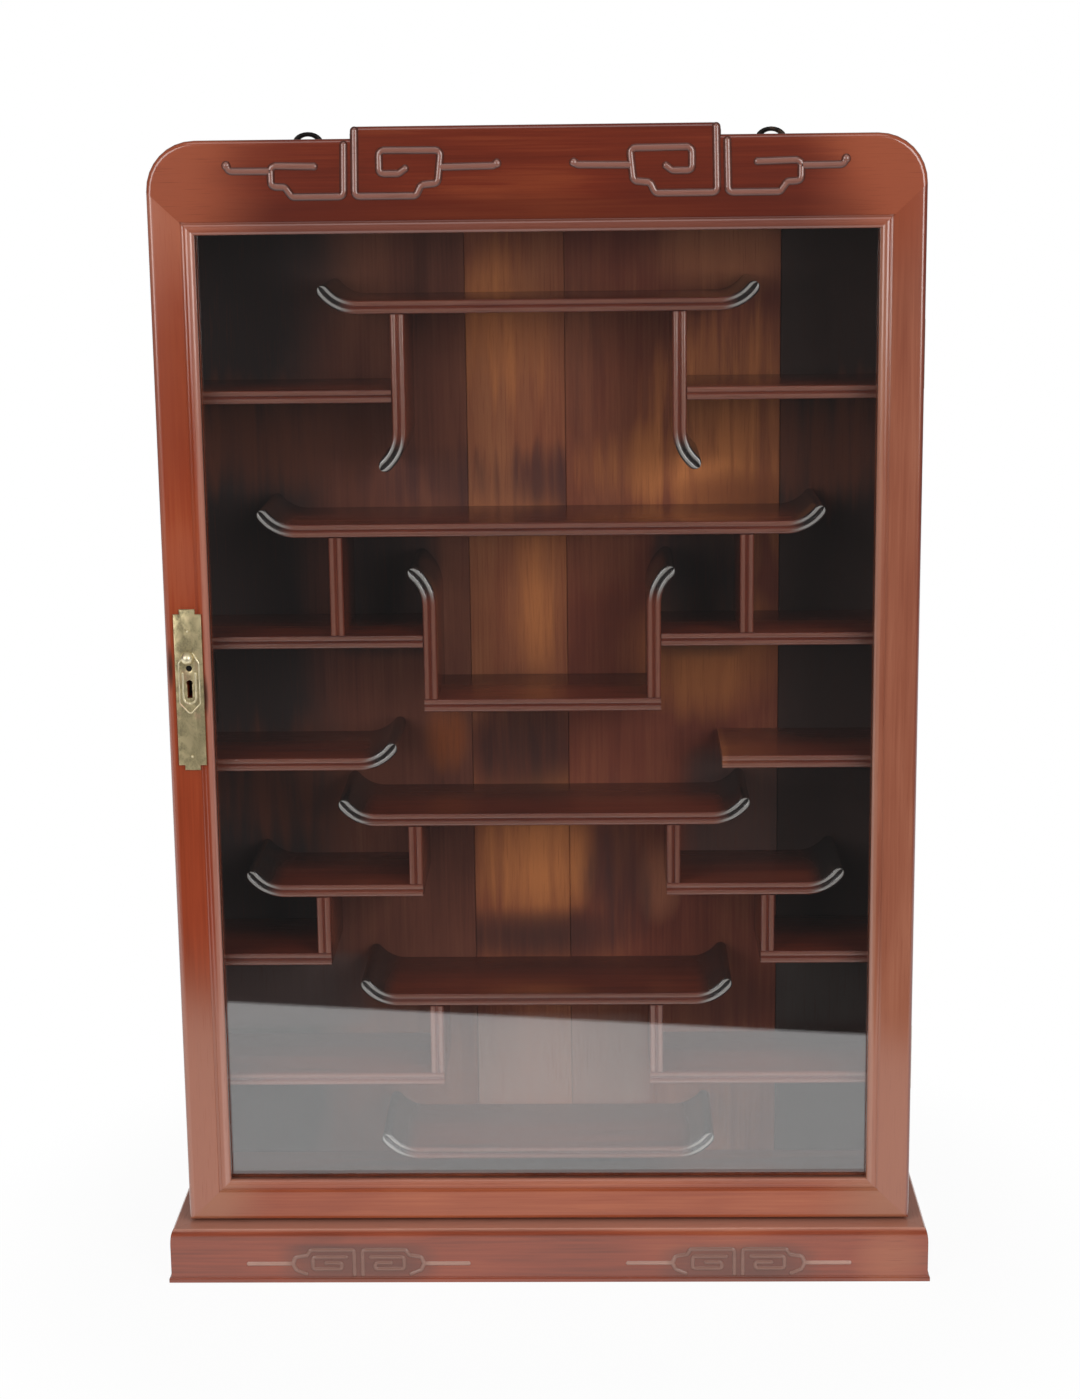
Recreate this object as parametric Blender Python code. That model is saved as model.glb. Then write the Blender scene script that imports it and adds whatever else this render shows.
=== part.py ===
"""Wall display cabinet in hardwood.

A shallow case of stepped shelves with upturned ends stands on a moulded base, behind
one glazed and lockable door. Sizes are in metres. X runs to the right, Y towards the
wall and Z up, and the origin is under the middle of the base.
"""
import math

import bmesh
import bpy
from mathutils import Matrix, Vector

# Fits
FIT = 0.0003                    # gap between pieces that touch
OVERCUT = 0.002                 # how far a cutter stands past what it cuts
SAME = 1e-6                     # coordinates closer than this are the same

# Base
BASE_HEIGHT = 0.040
BASE_PROJECTION = 0.012         # face of the base in front of the face of the door
BASE_SIDE_PROJECTION = 0.013    # face of the base past the sides of the door
BASE_BOARD_WIDTH = 0.045        # top ledge, from the face inwards
BASE_APRON = 0.018              # thickness of the upright part
BASE_LEDGE = 0.012              # thickness of the top ledge
BASE_ROUND_IN = 0.0030          # rounded top edge of the face
BASE_ROUND_DOWN = 0.0115
BASE_LIP_OUT = 0.0015
BASE_LIP_HEIGHT = 0.004

# Case
CASE_DEPTH = 0.100
SIDE_THICKNESS = 0.008
TOP_THICKNESS = 0.012
FLOOR_THICKNESS = 0.010
BOARD_THICKNESS = 0.006
BOARD_RECESS = 0.0036           # back boards in front of the rear edges of the sides
BOARD_REBATE = 0.004            # how far the outer boards are let into the sides
BOARD_LAP = 0.005               # half lap between neighbouring boards
BOARD_JOINTS = (-0.054, 0.017, 0.171)
HOUSING = 0.003                 # how far the side shelves are let into the sides

# Shelves and dividers
SHELF_THICKNESS = 0.0090
DIVIDER_THICKNESS = 0.0096
SHELF_SETBACK = 0.003           # shelf fronts behind the front of the case
EDGE_GROOVE_WIDTH = 0.0010      # flat floor of the groove between the two front beads
EDGE_GROOVE_DEPTH = 0.0014
EDGE_STEPS = 2
SHELF_CURL_RADIUS = 0.029       # centre line of an upturned shelf end
SHELF_CURL_SWEEP = math.radians(51)    # to the middle of the rounded tip
DIVIDER_CURL_RADIUS = 0.030     # centre line of a curled divider end
DIVIDER_CURL_SWEEP = math.radians(48.5)
CURL_STEPS = 8
TIP_STEPS = 4

# Clear heights, from the case floor upwards
BOTTOM_CLEAR = 0.0285           # floor to the bottom shelf
LOWER_SIDE_CLEAR = 0.0485       # bottom shelf to the lower side shelves
LOWER_DIVIDER_HEIGHT = 0.0510   # lower side shelves to the lower centre shelf
STEP_CLEAR = 0.0820             # lower side shelves to the step shelves
STEP_DIVIDER_HEIGHT = 0.0420    # step shelves to the middle side shelves
MIDDLE_DIVIDER_HEIGHT = 0.0430  # middle side shelves to the middle centre shelf
BRACKET_CLEAR = 0.0320          # middle centre shelf to the bracket shelves
LONG_SIDE_CLEAR = 0.0790        # bracket shelves to the long side shelves
LONG_DIVIDER_HEIGHT = 0.0695    # long side shelves to the long shelf
WELL_DROP = 0.0460              # well floor below the long side shelves
WELL_HEAD_CLEAR = 0.0215        # tips of the well walls below the long shelf
UPPER_SIDE_CLEAR = 0.0840       # long shelf to the upper side shelves
UPPER_RISE = 0.0515             # upper side shelves to the upper centre shelf
UPPER_DROP = 0.0205             # straight part of the upper dividers below the upper side shelves
TOP_CLEAR = 0.0727              # upper centre shelf to the top panel

# Widths of the bays, and lengths of the shelves
SHELF_OVERHANG = 0.0225         # straight part of a curled shelf past its divider
UPPER_BAY = 0.0915              # middle of the case to the upper dividers
WELL_HALF = 0.0735              # middle of the case to the well walls
LONG_CELL_WIDTH = 0.0549        # well walls to the long dividers
MIDDLE_BAY = 0.0870             # middle of the case to the middle dividers
LOWER_BAY = 0.0745              # middle of the case to the lower dividers
BOTTOM_STRAIGHT = 0.0940        # middle of the case to the curls of the bottom shelf
BRACKET_LEFT_LENGTH = 0.1200    # straight part of the left bracket shelf
BRACKET_RIGHT_LENGTH = 0.1238
STEP_LENGTH = 0.0960            # step shelves
BATTEN_HALF = 0.0600
BATTEN_DEPTH = 0.018

# Door
DOOR_WIDTH = 0.520
DOOR_THICKNESS = 0.020
DOOR_OVERHANG = 0.002           # door past the sides of the case
DOOR_CLEARANCE = 0.0025         # door bottom above the base
STILE_WIDTH = 0.031
BOTTOM_RAIL_WIDTH = 0.0302
TOP_RAIL_WIDTH = 0.0621
SHOULDER_RISE = 0.0231          # shoulders of the door above the case top
CREST_WIDTH = 0.246
CREST_RISE = 0.008
CREST_CORNER = 0.005
CORNER_RADIUS = 0.033
EDGE_RADIUS = 0.0035            # rounded outer front edge of the frame
BEAD_WIDTH = 0.0080             # oval bead along the glass
BEAD_HEIGHT = 0.0030
BEAD_SINK = 0.0002
BEAD_CUT = math.radians(25)     # where the bead ends at the groove beside it
QUIRK_WIDTH = 0.0010            # that groove
LIP_THICKNESS = 0.008           # frame in front of the glass
GLASS_LAP = 0.007               # glass behind the frame
GLASS_THICKNESS = 0.003
GLAZING_SINK = 0.0005           # glazing bead below the back of the frame
GLAZING_ROUND = 0.003

# Lock
LOCK_MIDDLE = 0.0162            # lock line from the outer edge of the door
LOCK_PLATE_WIDTH = 0.0196
LOCK_PLATE_HEIGHT = 0.114
LOCK_PLATE_THICKNESS = 0.0015
LOCK_TAB_WIDTH = 0.0110
LOCK_TAB_HEIGHT = 0.0035
LOCK_PLATE_DROP = 0.0051        # middle of the plate below the eye of the keyhole
KEYHOLE_DROP = 0.0159           # eye of the keyhole below the top of the lock case
KEYHOLE_RADIUS = 0.0020
KEYHOLE_LEG_WIDTH = 0.0024
KEYHOLE_LEG = 0.0105
KEYHOLE_DEPTH = 0.0075          # how far the keyhole goes into the lock case
LOCK_CASE_HEIGHT = 0.050
LOCK_CASE_DEPTH = 0.0105
LOCK_CASE_MARGIN = 0.0008       # lock case to the side panel
LOCK_CASE_CLEAR = 0.0023        # top of the lock case below the long side shelf
LOCK_CASE_WALL = 0.0041         # behind the bolt
BOLT_HEIGHT = 0.008
BOLT_DEPTH = 0.005
BOLT_DROP = 0.0070              # middle of the bolt below the top of the lock case
BOLT_THROW = 0.005
STRIKE_CLEARANCE = 0.0008       # room round the bolt in the side panel

# Hinges
HINGE_HEIGHT = 0.050
HINGE_INSET = 0.085             # middle of a hinge from the end of the glass opening
LEAF_WIDTH = 0.008
LEAF_THICKNESS = 0.001
PIN_RADIUS = 0.0008
PIN_CLEARANCE = 0.0002
PIN_HEAD_RADIUS = 0.0017
PIN_HEAD_HEIGHT = 0.0012
KNUCKLE_WRAP = math.radians(285)
KNUCKLE_STEPS = 20

# Hanging eyes
EYE_INSET = 0.0945              # middle of an eye from the side of the case
EYE_RING_RADIUS = 0.0062        # to the middle of the wire
EYE_WIRE_RADIUS = 0.0016
EYE_RISE = 0.0202               # middle of the ring above the case top
EYE_PLATE_WIDTH = 0.016
EYE_PLATE_HEIGHT = 0.040
EYE_PLATE_THICKNESS = 0.002
EYE_STEPS = 24
WIRE_STEPS = 8

# Depths, from the lip of the base to the wall
KNUCKLE_BORE = PIN_RADIUS + PIN_CLEARANCE
KNUCKLE_RADIUS = KNUCKLE_BORE + LEAF_THICKNESS
DOOR_GAP = 2 * KNUCKLE_BORE
DEPTH = BASE_LIP_OUT + BASE_PROJECTION + DOOR_THICKNESS + DOOR_GAP + CASE_DEPTH
Y_BASE = -DEPTH / 2 + BASE_LIP_OUT
Y_DOOR = Y_BASE + BASE_PROJECTION
Y_DOOR_BACK = Y_DOOR + DOOR_THICKNESS
Y_HINGE = Y_DOOR_BACK + DOOR_GAP / 2
Y_CASE = Y_DOOR_BACK + DOOR_GAP
Y_SHELF = Y_CASE + SHELF_SETBACK
Y_BACK = Y_CASE + CASE_DEPTH
Y_BOARD_BACK = Y_BACK - BOARD_RECESS
Y_BOARD = Y_BOARD_BACK - BOARD_THICKNESS
Y_SHELF_BACK = Y_BOARD - FIT

# Heights of the undersides of the shelves
Z_CASE = BASE_HEIGHT + FIT
Z_FLOOR = Z_CASE + FLOOR_THICKNESS
Z_BOTTOM = Z_FLOOR + BOTTOM_CLEAR
Z_LOWER_SIDE = Z_BOTTOM + SHELF_THICKNESS + LOWER_SIDE_CLEAR
Z_LOWER = Z_LOWER_SIDE + SHELF_THICKNESS + LOWER_DIVIDER_HEIGHT
Z_STEP = Z_LOWER_SIDE + SHELF_THICKNESS + STEP_CLEAR
Z_MIDDLE_SIDE = Z_STEP + SHELF_THICKNESS + STEP_DIVIDER_HEIGHT
Z_MIDDLE = Z_MIDDLE_SIDE + SHELF_THICKNESS + MIDDLE_DIVIDER_HEIGHT
Z_BRACKET = Z_MIDDLE + SHELF_THICKNESS + BRACKET_CLEAR
Z_LONG_SIDE = Z_BRACKET + SHELF_THICKNESS + LONG_SIDE_CLEAR
Z_LONG = Z_LONG_SIDE + SHELF_THICKNESS + LONG_DIVIDER_HEIGHT
Z_WELL = Z_LONG_SIDE - WELL_DROP
Z_UPPER_SIDE = Z_LONG + SHELF_THICKNESS + UPPER_SIDE_CLEAR
Z_UPPER = Z_UPPER_SIDE + SHELF_THICKNESS + UPPER_RISE
Z_TOP = Z_UPPER + SHELF_THICKNESS + TOP_CLEAR
Z_CASE_TOP = Z_TOP + TOP_THICKNESS

# Heights on the door
Z_DOOR = BASE_HEIGHT + DOOR_CLEARANCE
Z_GLASS = Z_DOOR + BOTTOM_RAIL_WIDTH
Z_SHOULDER = Z_CASE_TOP + SHOULDER_RISE
Z_GLASS_TOP = Z_SHOULDER - TOP_RAIL_WIDTH
Z_CORNER = Z_SHOULDER - CORNER_RADIUS
Z_CREST = Z_SHOULDER + CREST_RISE

# Half widths and lines
DOOR_HALF = DOOR_WIDTH / 2
BASE_HALF = DOOR_HALF + BASE_SIDE_PROJECTION
CASE_HALF = DOOR_HALF - DOOR_OVERHANG
INNER_HALF = CASE_HALF - SIDE_THICKNESS
SHELF_REACH = INNER_HALF + HOUSING - FIT
LONG_CELL = WELL_HALF + DIVIDER_THICKNESS + LONG_CELL_WIDTH
STEP_BAY = INNER_HALF - STEP_LENGTH
BRACKET_LEFT_END = INNER_HALF - BRACKET_LEFT_LENGTH
BRACKET_RIGHT_END = INNER_HALF - BRACKET_RIGHT_LENGTH
GLASS_HALF = DOOR_HALF - STILE_WIDTH
X_HINGE = CASE_HALF + KNUCKLE_RADIUS + FIT
X_EYE = CASE_HALF - EYE_INSET

# Lock
X_LOCK = LOCK_MIDDLE - DOOR_HALF
X_LOCK_CASE = LOCK_CASE_MARGIN - INNER_HALF
X_LOCK_CASE_END = -GLASS_HALF - FIT
X_BOLT_END = X_LOCK_CASE_END - LOCK_CASE_WALL
Y_LOCK_CASE = Y_DOOR_BACK + FIT
Y_BOLT = Y_LOCK_CASE + LOCK_CASE_DEPTH / 2
Z_LOCK_CASE = Z_LONG_SIDE - LOCK_CASE_CLEAR
Z_BOLT = Z_LOCK_CASE - BOLT_DROP
Z_KEYHOLE = Z_LOCK_CASE - KEYHOLE_DROP
Z_LOCK_PLATE = Z_KEYHOLE - LOCK_PLATE_DROP
HINGE_HEIGHTS = {"lower": Z_GLASS + HINGE_INSET, "upper": Z_GLASS_TOP - HINGE_INSET}

# Where each moving group turns or slides
PIVOTS = {
    "case": Vector((0.0, 0.0, 0.0)),
    "door": Vector((X_HINGE, Y_HINGE, Z_DOOR)),
    "lock_bolt": Vector((X_LOCK_CASE, Y_BOLT, Z_BOLT)),
}
PARENTS = {"door": "case", "lock_bolt": "door"}

# Finishes: colour, roughness, metallic value
ROSEWOOD = ((0.245, 0.060, 0.032, 1.0), 0.32, 0.0)
DARK_ROSEWOOD = ((0.120, 0.034, 0.020, 1.0), 0.38, 0.0)
BACK_WOOD = ((0.200, 0.075, 0.030, 1.0), 0.45, 0.0)
PLAIN_WOOD = ((0.230, 0.110, 0.055, 1.0), 0.60, 0.0)
AGED_BRASS = ((0.430, 0.330, 0.150, 1.0), 0.38, 1.0)
DARK_METAL = ((0.060, 0.055, 0.050, 1.0), 0.45, 1.0)
CLEAR_GLASS = ((0.900, 0.930, 0.920, 0.25), 0.03, 0.0)


def clear_scene():
    """Remove every object that the scene starts with."""
    for obj in list(bpy.data.objects):
        bpy.data.objects.remove(obj, do_unlink=True)


def add_pivots():
    """Add one empty for each group of pieces and return them by name."""
    empties = {}
    for name, point in PIVOTS.items():
        empty = bpy.data.objects.new(name + "_pivot", None)
        empty.empty_display_size = 0.03
        bpy.context.collection.objects.link(empty)
        parent = PARENTS.get(name)
        empty.parent = empties.get(parent)
        empty.location = point - PIVOTS[parent] if parent else point
        empties[name] = empty
    return empties


def make_material(name, finish):
    """Make a Principled material from a finish."""
    color, roughness, metallic = finish
    material = bpy.data.materials.new(name)
    material.use_nodes = True
    material.diffuse_color = color
    shader = material.node_tree.nodes["Principled BSDF"]
    shader.inputs["Base Color"].default_value = color
    shader.inputs["Roughness"].default_value = roughness
    shader.inputs["Metallic"].default_value = metallic
    shader.inputs["Alpha"].default_value = color[3]
    return material


def add_object(name, bm, group):
    """Turn a mesh in world coordinates into an object under its group's pivot."""
    bmesh.ops.recalc_face_normals(bm, faces=bm.faces)
    bmesh.ops.translate(bm, verts=bm.verts, vec=-PIVOTS[group])
    mesh = bpy.data.meshes.new(name)
    bm.to_mesh(mesh)
    bm.free()
    obj = bpy.data.objects.new(name, mesh)
    bpy.context.collection.objects.link(obj)
    obj.parent = bpy.data.objects[group + "_pivot"]
    return obj


def add_piece(name, bm, group, finish, smooth=False):
    """Add one piece of the cabinet with its own material."""
    obj = add_object(name, bm, group)
    obj.data.materials.append(make_material(name, finish))
    if smooth:
        obj.data.shade_smooth()
        obj.data.set_sharp_from_angle(angle=math.radians(35))
    return obj


def carve(obj, bm, group, operation="DIFFERENCE"):
    """Cut a mesh out of a piece, or join it to the piece, with a hidden tool object."""
    tool = add_object(obj.name + "_tool_" + str(len(obj.modifiers)), bm, group)
    tool.hide_render = True
    tool.display_type = "WIRE"
    modifier = obj.modifiers.new("carve", "BOOLEAN")
    modifier.operation = operation
    modifier.solver = "EXACT"
    modifier.object = tool


def add_box(bm, low, high):
    """Add a box between two corners to a mesh."""
    low, high = Vector(low), Vector(high)
    size = Matrix.Diagonal(high - low).to_4x4()
    bmesh.ops.create_cube(bm, size=1.0, matrix=Matrix.Translation((low + high) / 2) @ size)


def boxes(*corners):
    """Make a mesh of separate boxes from pairs of corners."""
    bm = bmesh.new()
    for low, high in corners:
        add_box(bm, low, high)
    return bm


def arc(center, radius, start, stop, steps):
    """Points of an arc in a plane, both ends included."""
    angles = (start + (stop - start) * i / steps for i in range(steps + 1))
    return [(center[0] + radius * math.cos(a), center[1] + radius * math.sin(a)) for a in angles]


def mirrored(points):
    """A half outline followed by its mirror image across the second axis."""
    return points + [(-a, b) for a, b in reversed(points)]


def in_xz(a, b, w):
    """Place an outline drawn in X and Z, with its length along Y."""
    return Vector((a, w, b))


def in_xy(a, b, w):
    """Place an outline drawn in X and Y, with its length along Z."""
    return Vector((a, b, w))


def prism(outline, place, low, high):
    """Extrude a closed outline between two places along the third axis."""
    bm = bmesh.new()
    face = bm.faces.new([bm.verts.new(place(a, b, low)) for a, b in outline])
    grown = bmesh.ops.extrude_face_region(bm, geom=[face])["geom"]
    moved = [v for v in grown if isinstance(v, bmesh.types.BMVert)]
    bmesh.ops.translate(bm, verts=moved, vec=place(0, 0, high) - place(0, 0, low))
    bmesh.ops.recalc_face_normals(bm, faces=bm.faces)
    return bm


def mitred_bar(profile, place, start, stop):
    """Extrude a profile whose two ends are cut by planes.

    start and stop give the place of each end from the profile's first coordinate.
    """
    bm = bmesh.new()
    face = bm.faces.new([bm.verts.new(place(u, v, start(u))) for u, v in profile])
    grown = bmesh.ops.extrude_face_region(bm, geom=[face])["geom"]
    moved = [v for v in grown if isinstance(v, bmesh.types.BMVert)]
    for vert, (u, v) in zip(moved, sorted_like(moved, profile, place, start)):
        vert.co = place(u, v, stop(u))
    bmesh.ops.recalc_face_normals(bm, faces=bm.faces)
    return bm


def sorted_like(verts, profile, place, start):
    """The profile point that each vertex stands on."""
    spots = [(place(u, v, start(u)), (u, v)) for u, v in profile]
    return [min(spots, key=lambda spot: (spot[0] - vert.co).length)[1] for vert in verts]


def curl(x, z, heading, radius, sweep, turn):
    """Centre line of a curled end that leaves a point along a heading.

    turn is 1 to bend to the left of the heading and -1 to bend to the right.
    """
    side = heading + turn * math.pi / 2
    center = (x + radius * math.cos(side), z + radius * math.sin(side))
    start = side + math.pi
    return arc(center, radius, start, start + turn * sweep, CURL_STEPS)


def strip_outline(path, thickness, round_start=False, round_end=False):
    """Closed outline of a strip of even thickness along a centre line, with square or round ends."""
    points = [Vector(p) for p in path]
    runs = [(b - a).normalized() for a, b in zip(points, points[1:])]
    left, right = [], []
    for i, point in enumerate(points):
        before, after = runs[max(i - 1, 0)], runs[min(i, len(runs) - 1)]
        along = (before + after).normalized()
        across = Vector((-along.y, along.x)) * (thickness / 2 / along.dot(after))
        left.append(tuple(point + across))
        right.append(tuple(point - across))
    end = tip(points[-1], runs[-1], thickness) if round_end else []
    start = tip(points[0], -runs[0], thickness) if round_start else []
    return left + end + right[::-1] + start


def tip(point, heading, thickness):
    """Points of a half round end between the two sides of a strip, from its left to its right."""
    ahead = math.atan2(heading.y, heading.x)
    return arc(point, thickness / 2, ahead + math.pi / 2, ahead - math.pi / 2, TIP_STEPS)[1:-1]


def middle_xz(edge):
    """Middle of an edge as seen from the front."""
    middle = (edge.verts[0].co + edge.verts[1].co) / 2
    return middle.xz


def add_strip(name, path, thickness, round_start=False, round_end=False):
    """Add a shelf or divider: a strip with two round beads and a groove along its front edge.

    Square ends stay square, as they stand against another piece.
    """
    outline = strip_outline(path, thickness, round_start, round_end)
    bm = prism(outline, in_xz, Y_SHELF, Y_SHELF_BACK)
    half_bead = (thickness - EDGE_GROOVE_WIDTH) / 4
    ends = [Vector(path[0]), Vector(path[-1])]
    front = [e for e in bm.edges if all(abs(v.co.y - Y_SHELF) < SAME for v in e.verts)]
    sides = [e for e in front if all((middle_xz(e) - end).length > SAME for end in ends)]
    bmesh.ops.bevel(bm, geom=sides, offset=half_bead, segments=EDGE_STEPS, profile=0.5,
                    affect="EDGES", material=-1)
    bm.faces.ensure_lookup_table()
    face = max((f for f in bm.faces if f.normal.y < -0.99), key=lambda f: f.calc_area())
    bmesh.ops.inset_region(bm, faces=[face], thickness=half_bead, depth=-EDGE_GROOVE_DEPTH,
                           use_even_offset=True)
    return add_piece(name, bm, "case", DARK_ROSEWOOD)


def flat_shelf(name, x_from, x_to, underside):
    """Add a straight shelf between two places."""
    z = underside + SHELF_THICKNESS / 2
    add_strip(name, [(x_from, z), (x_to, z)], SHELF_THICKNESS)


def past(inner):
    """Where a shelf starts to curl, past a divider with its inner face at a place."""
    return inner + DIVIDER_THICKNESS + SHELF_OVERHANG


def shelf_curl(x, z, side):
    """Centre line of an upturned shelf end; side is -1 at the left and 1 at the right."""
    heading = 0.0 if side > 0 else math.pi
    return curl(x, z, heading, SHELF_CURL_RADIUS, SHELF_CURL_SWEEP, side)


def curled_shelf(name, straight, underside):
    """Add a shelf across the middle of the case with both ends turned up."""
    z = underside + SHELF_THICKNESS / 2
    left, right = shelf_curl(-straight, z, -1), shelf_curl(straight, z, 1)
    add_strip(name, left[::-1] + right, SHELF_THICKNESS, True, True)


def side_shelf(name, x_from, x_to, underside):
    """Add a shelf whose far end, at x_to, is turned up."""
    z = underside + SHELF_THICKNESS / 2
    side = 1 if x_to > x_from else -1
    add_strip(name, [(x_from, z)] + shelf_curl(x_to, z, side), SHELF_THICKNESS, round_end=True)


def divider(name, inner, side, low, high):
    """Add a straight divider that stands between two heights."""
    x = side * (inner + DIVIDER_THICKNESS / 2)
    add_strip(name, [(x, low + FIT), (x, high - FIT)], DIVIDER_THICKNESS)


def add_side(name, side, shelf_heights):
    """Add a side panel, rebated for the back and housed for its shelves."""
    outer, inner = side * CASE_HALF, side * INNER_HALF
    rebate = side * (INNER_HALF + BOARD_REBATE)
    outline = [(outer, Y_CASE), (inner, Y_CASE), (inner, Y_SHELF_BACK), (rebate, Y_SHELF_BACK),
               (rebate, Y_BACK), (outer, Y_BACK)]
    panel = add_piece(name, prism(outline, in_xy, Z_CASE, Z_CASE_TOP), "case", ROSEWOOD)
    open_x, deep_x = side * (INNER_HALF - OVERCUT), side * (INNER_HALF + HOUSING)
    cuts = []
    for z in shelf_heights:
        cuts.append(((min(open_x, deep_x), Y_SHELF - FIT, z - FIT),
                     (max(open_x, deep_x), Y_BOARD + OVERCUT, z + SHELF_THICKNESS + FIT)))
    carve(panel, boxes(*cuts), "case")
    return panel


def add_backs():
    """Add the upright back boards, half-lapped to each other."""
    edge = INNER_HALF + BOARD_REBATE - FIT
    lines = (-edge,) + BOARD_JOINTS + (edge,)
    middle = Y_BOARD + BOARD_THICKNESS / 2
    for i, (left, right) in enumerate(zip(lines, lines[1:])):
        lap_left = BOARD_LAP if i > 0 else 0.0
        gap_right = FIT if i < len(BOARD_JOINTS) else 0.0
        outline = [(left, Y_BOARD), (right - gap_right, Y_BOARD)]
        if i < len(BOARD_JOINTS):
            outline += [(right - gap_right, middle - FIT / 2), (right - BOARD_LAP - FIT, middle - FIT / 2),
                        (right - BOARD_LAP - FIT, Y_BOARD_BACK)]
        else:
            outline += [(right, Y_BOARD_BACK)]
        outline += [(left - lap_left, Y_BOARD_BACK)]
        if i > 0:
            outline += [(left - lap_left, middle + FIT / 2), (left, middle + FIT / 2)]
        add_piece("back_board_" + str(i + 1), prism(outline, in_xy, Z_CASE, Z_CASE_TOP), "case", BACK_WOOD)


def add_case():
    """Add the sides, top, floor and back of the case."""
    heights = (Z_LOWER_SIDE, Z_STEP, Z_BRACKET, Z_LONG_SIDE, Z_UPPER_SIDE)
    left = add_side("side_panel_left", -1, heights)
    right = add_side("side_panel_right", 1, heights)
    room_y, room_z = BOLT_DEPTH / 2 + STRIKE_CLEARANCE, BOLT_HEIGHT / 2 + STRIKE_CLEARANCE
    strike = boxes(((X_LOCK_CASE - BOLT_THROW - STRIKE_CLEARANCE, Y_BOLT - room_y, Z_BOLT - room_z),
                    (OVERCUT - INNER_HALF, Y_BOLT + room_y, Z_BOLT + room_z)))
    carve(left, strike, "case")
    carve(right, hinge_gains(Y_CASE - OVERCUT, Y_HINGE + KNUCKLE_RADIUS + FIT), "case")
    for name, low, high in (("top_panel", Z_TOP, Z_CASE_TOP), ("floor_panel", Z_CASE, Z_FLOOR)):
        half = INNER_HALF - FIT
        add_piece(name, boxes(((-half, Y_CASE, low), (half, Y_SHELF_BACK, high))), "case", ROSEWOOD)
    add_backs()


def base_profile():
    """Section of a base board: distance inwards from its face, and height."""
    ledge = BASE_HEIGHT - BASE_LEDGE
    lip_round = arc((0.0, BASE_LIP_HEIGHT - BASE_LIP_OUT), BASE_LIP_OUT, math.pi, math.pi / 2, 3)
    quarter = arc((0.0, 0.0), 1.0, math.pi, math.pi / 2, 5)
    top_round = [(BASE_ROUND_IN * (1 + a), BASE_HEIGHT - BASE_ROUND_DOWN * (1 - b)) for a, b in quarter]
    return ([(-BASE_LIP_OUT, 0.0)] + lip_round + top_round
            + [(BASE_BOARD_WIDTH, BASE_HEIGHT), (BASE_BOARD_WIDTH, ledge), (BASE_APRON, ledge), (BASE_APRON, 0.0)])


def add_base():
    """Add the mitred front and side boards of the base and its plain back rail."""
    half = BASE_HALF
    profile = base_profile()
    front = mitred_bar(profile, lambda u, v, w: Vector((w, Y_BASE + u, v)),
                       lambda u: u + FIT / 2 - half, lambda u: half - u - FIT / 2)
    add_piece("base_front", front, "case", ROSEWOOD, smooth=True)
    for name, side in (("base_left", -1), ("base_right", 1)):
        board = mitred_bar(profile, lambda u, v, w: Vector((side * (half - u), w, v)),
                           lambda u: Y_BASE + u + FIT / 2, lambda u: Y_BACK)
        add_piece(name, board, "case", ROSEWOOD, smooth=True)
    wide, narrow = half - BASE_APRON - FIT, half - BASE_BOARD_WIDTH - FIT
    under = BASE_HEIGHT - BASE_LEDGE - FIT
    outline = mirrored([(wide, 0.0), (wide, under), (narrow, under), (narrow, BASE_HEIGHT)])
    add_piece("base_back", prism(outline, in_xz, Y_BACK - BASE_APRON, Y_BACK), "case", PLAIN_WOOD)


def add_upper_rows():
    """Add the upper shelves, the long shelf and the well that hangs below it."""
    curled_shelf("upper_shelf_centre", past(UPPER_BAY), Z_UPPER)
    curled_shelf("long_shelf", past(LONG_CELL), Z_LONG)
    wall = WELL_HALF + DIVIDER_THICKNESS
    flat_shelf("well_floor", -wall, wall, Z_WELL)
    well_top = Z_WELL + SHELF_THICKNESS + FIT
    head_rise = DIVIDER_CURL_RADIUS * math.sin(DIVIDER_CURL_SWEEP) + DIVIDER_THICKNESS / 2
    z_head = Z_LONG - WELL_HEAD_CLEAR - head_rise
    z_foot = Z_UPPER_SIDE - UPPER_DROP
    for name, side in (("left", -1), ("right", 1)):
        x = side * (UPPER_BAY + DIVIDER_THICKNESS / 2)
        foot = curl(x, z_foot, -math.pi / 2, DIVIDER_CURL_RADIUS, DIVIDER_CURL_SWEEP, side)
        add_strip("upper_divider_" + name, [(x, Z_UPPER - FIT)] + foot, DIVIDER_THICKNESS, round_end=True)
        inner = UPPER_BAY + DIVIDER_THICKNESS + FIT
        flat_shelf("upper_shelf_" + name, side * inner, side * SHELF_REACH, Z_UPPER_SIDE)
        divider("long_divider_" + name, LONG_CELL, side, Z_LONG_SIDE + SHELF_THICKNESS, Z_LONG)
        flat_shelf("long_side_shelf_" + name, side * (wall + FIT), side * SHELF_REACH, Z_LONG_SIDE)
        x = side * (WELL_HALF + DIVIDER_THICKNESS / 2)
        head = curl(x, z_head, math.pi / 2, DIVIDER_CURL_RADIUS, DIVIDER_CURL_SWEEP, -side)
        add_strip("well_wall_" + name, [(x, well_top)] + head, DIVIDER_THICKNESS, round_end=True)


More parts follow.
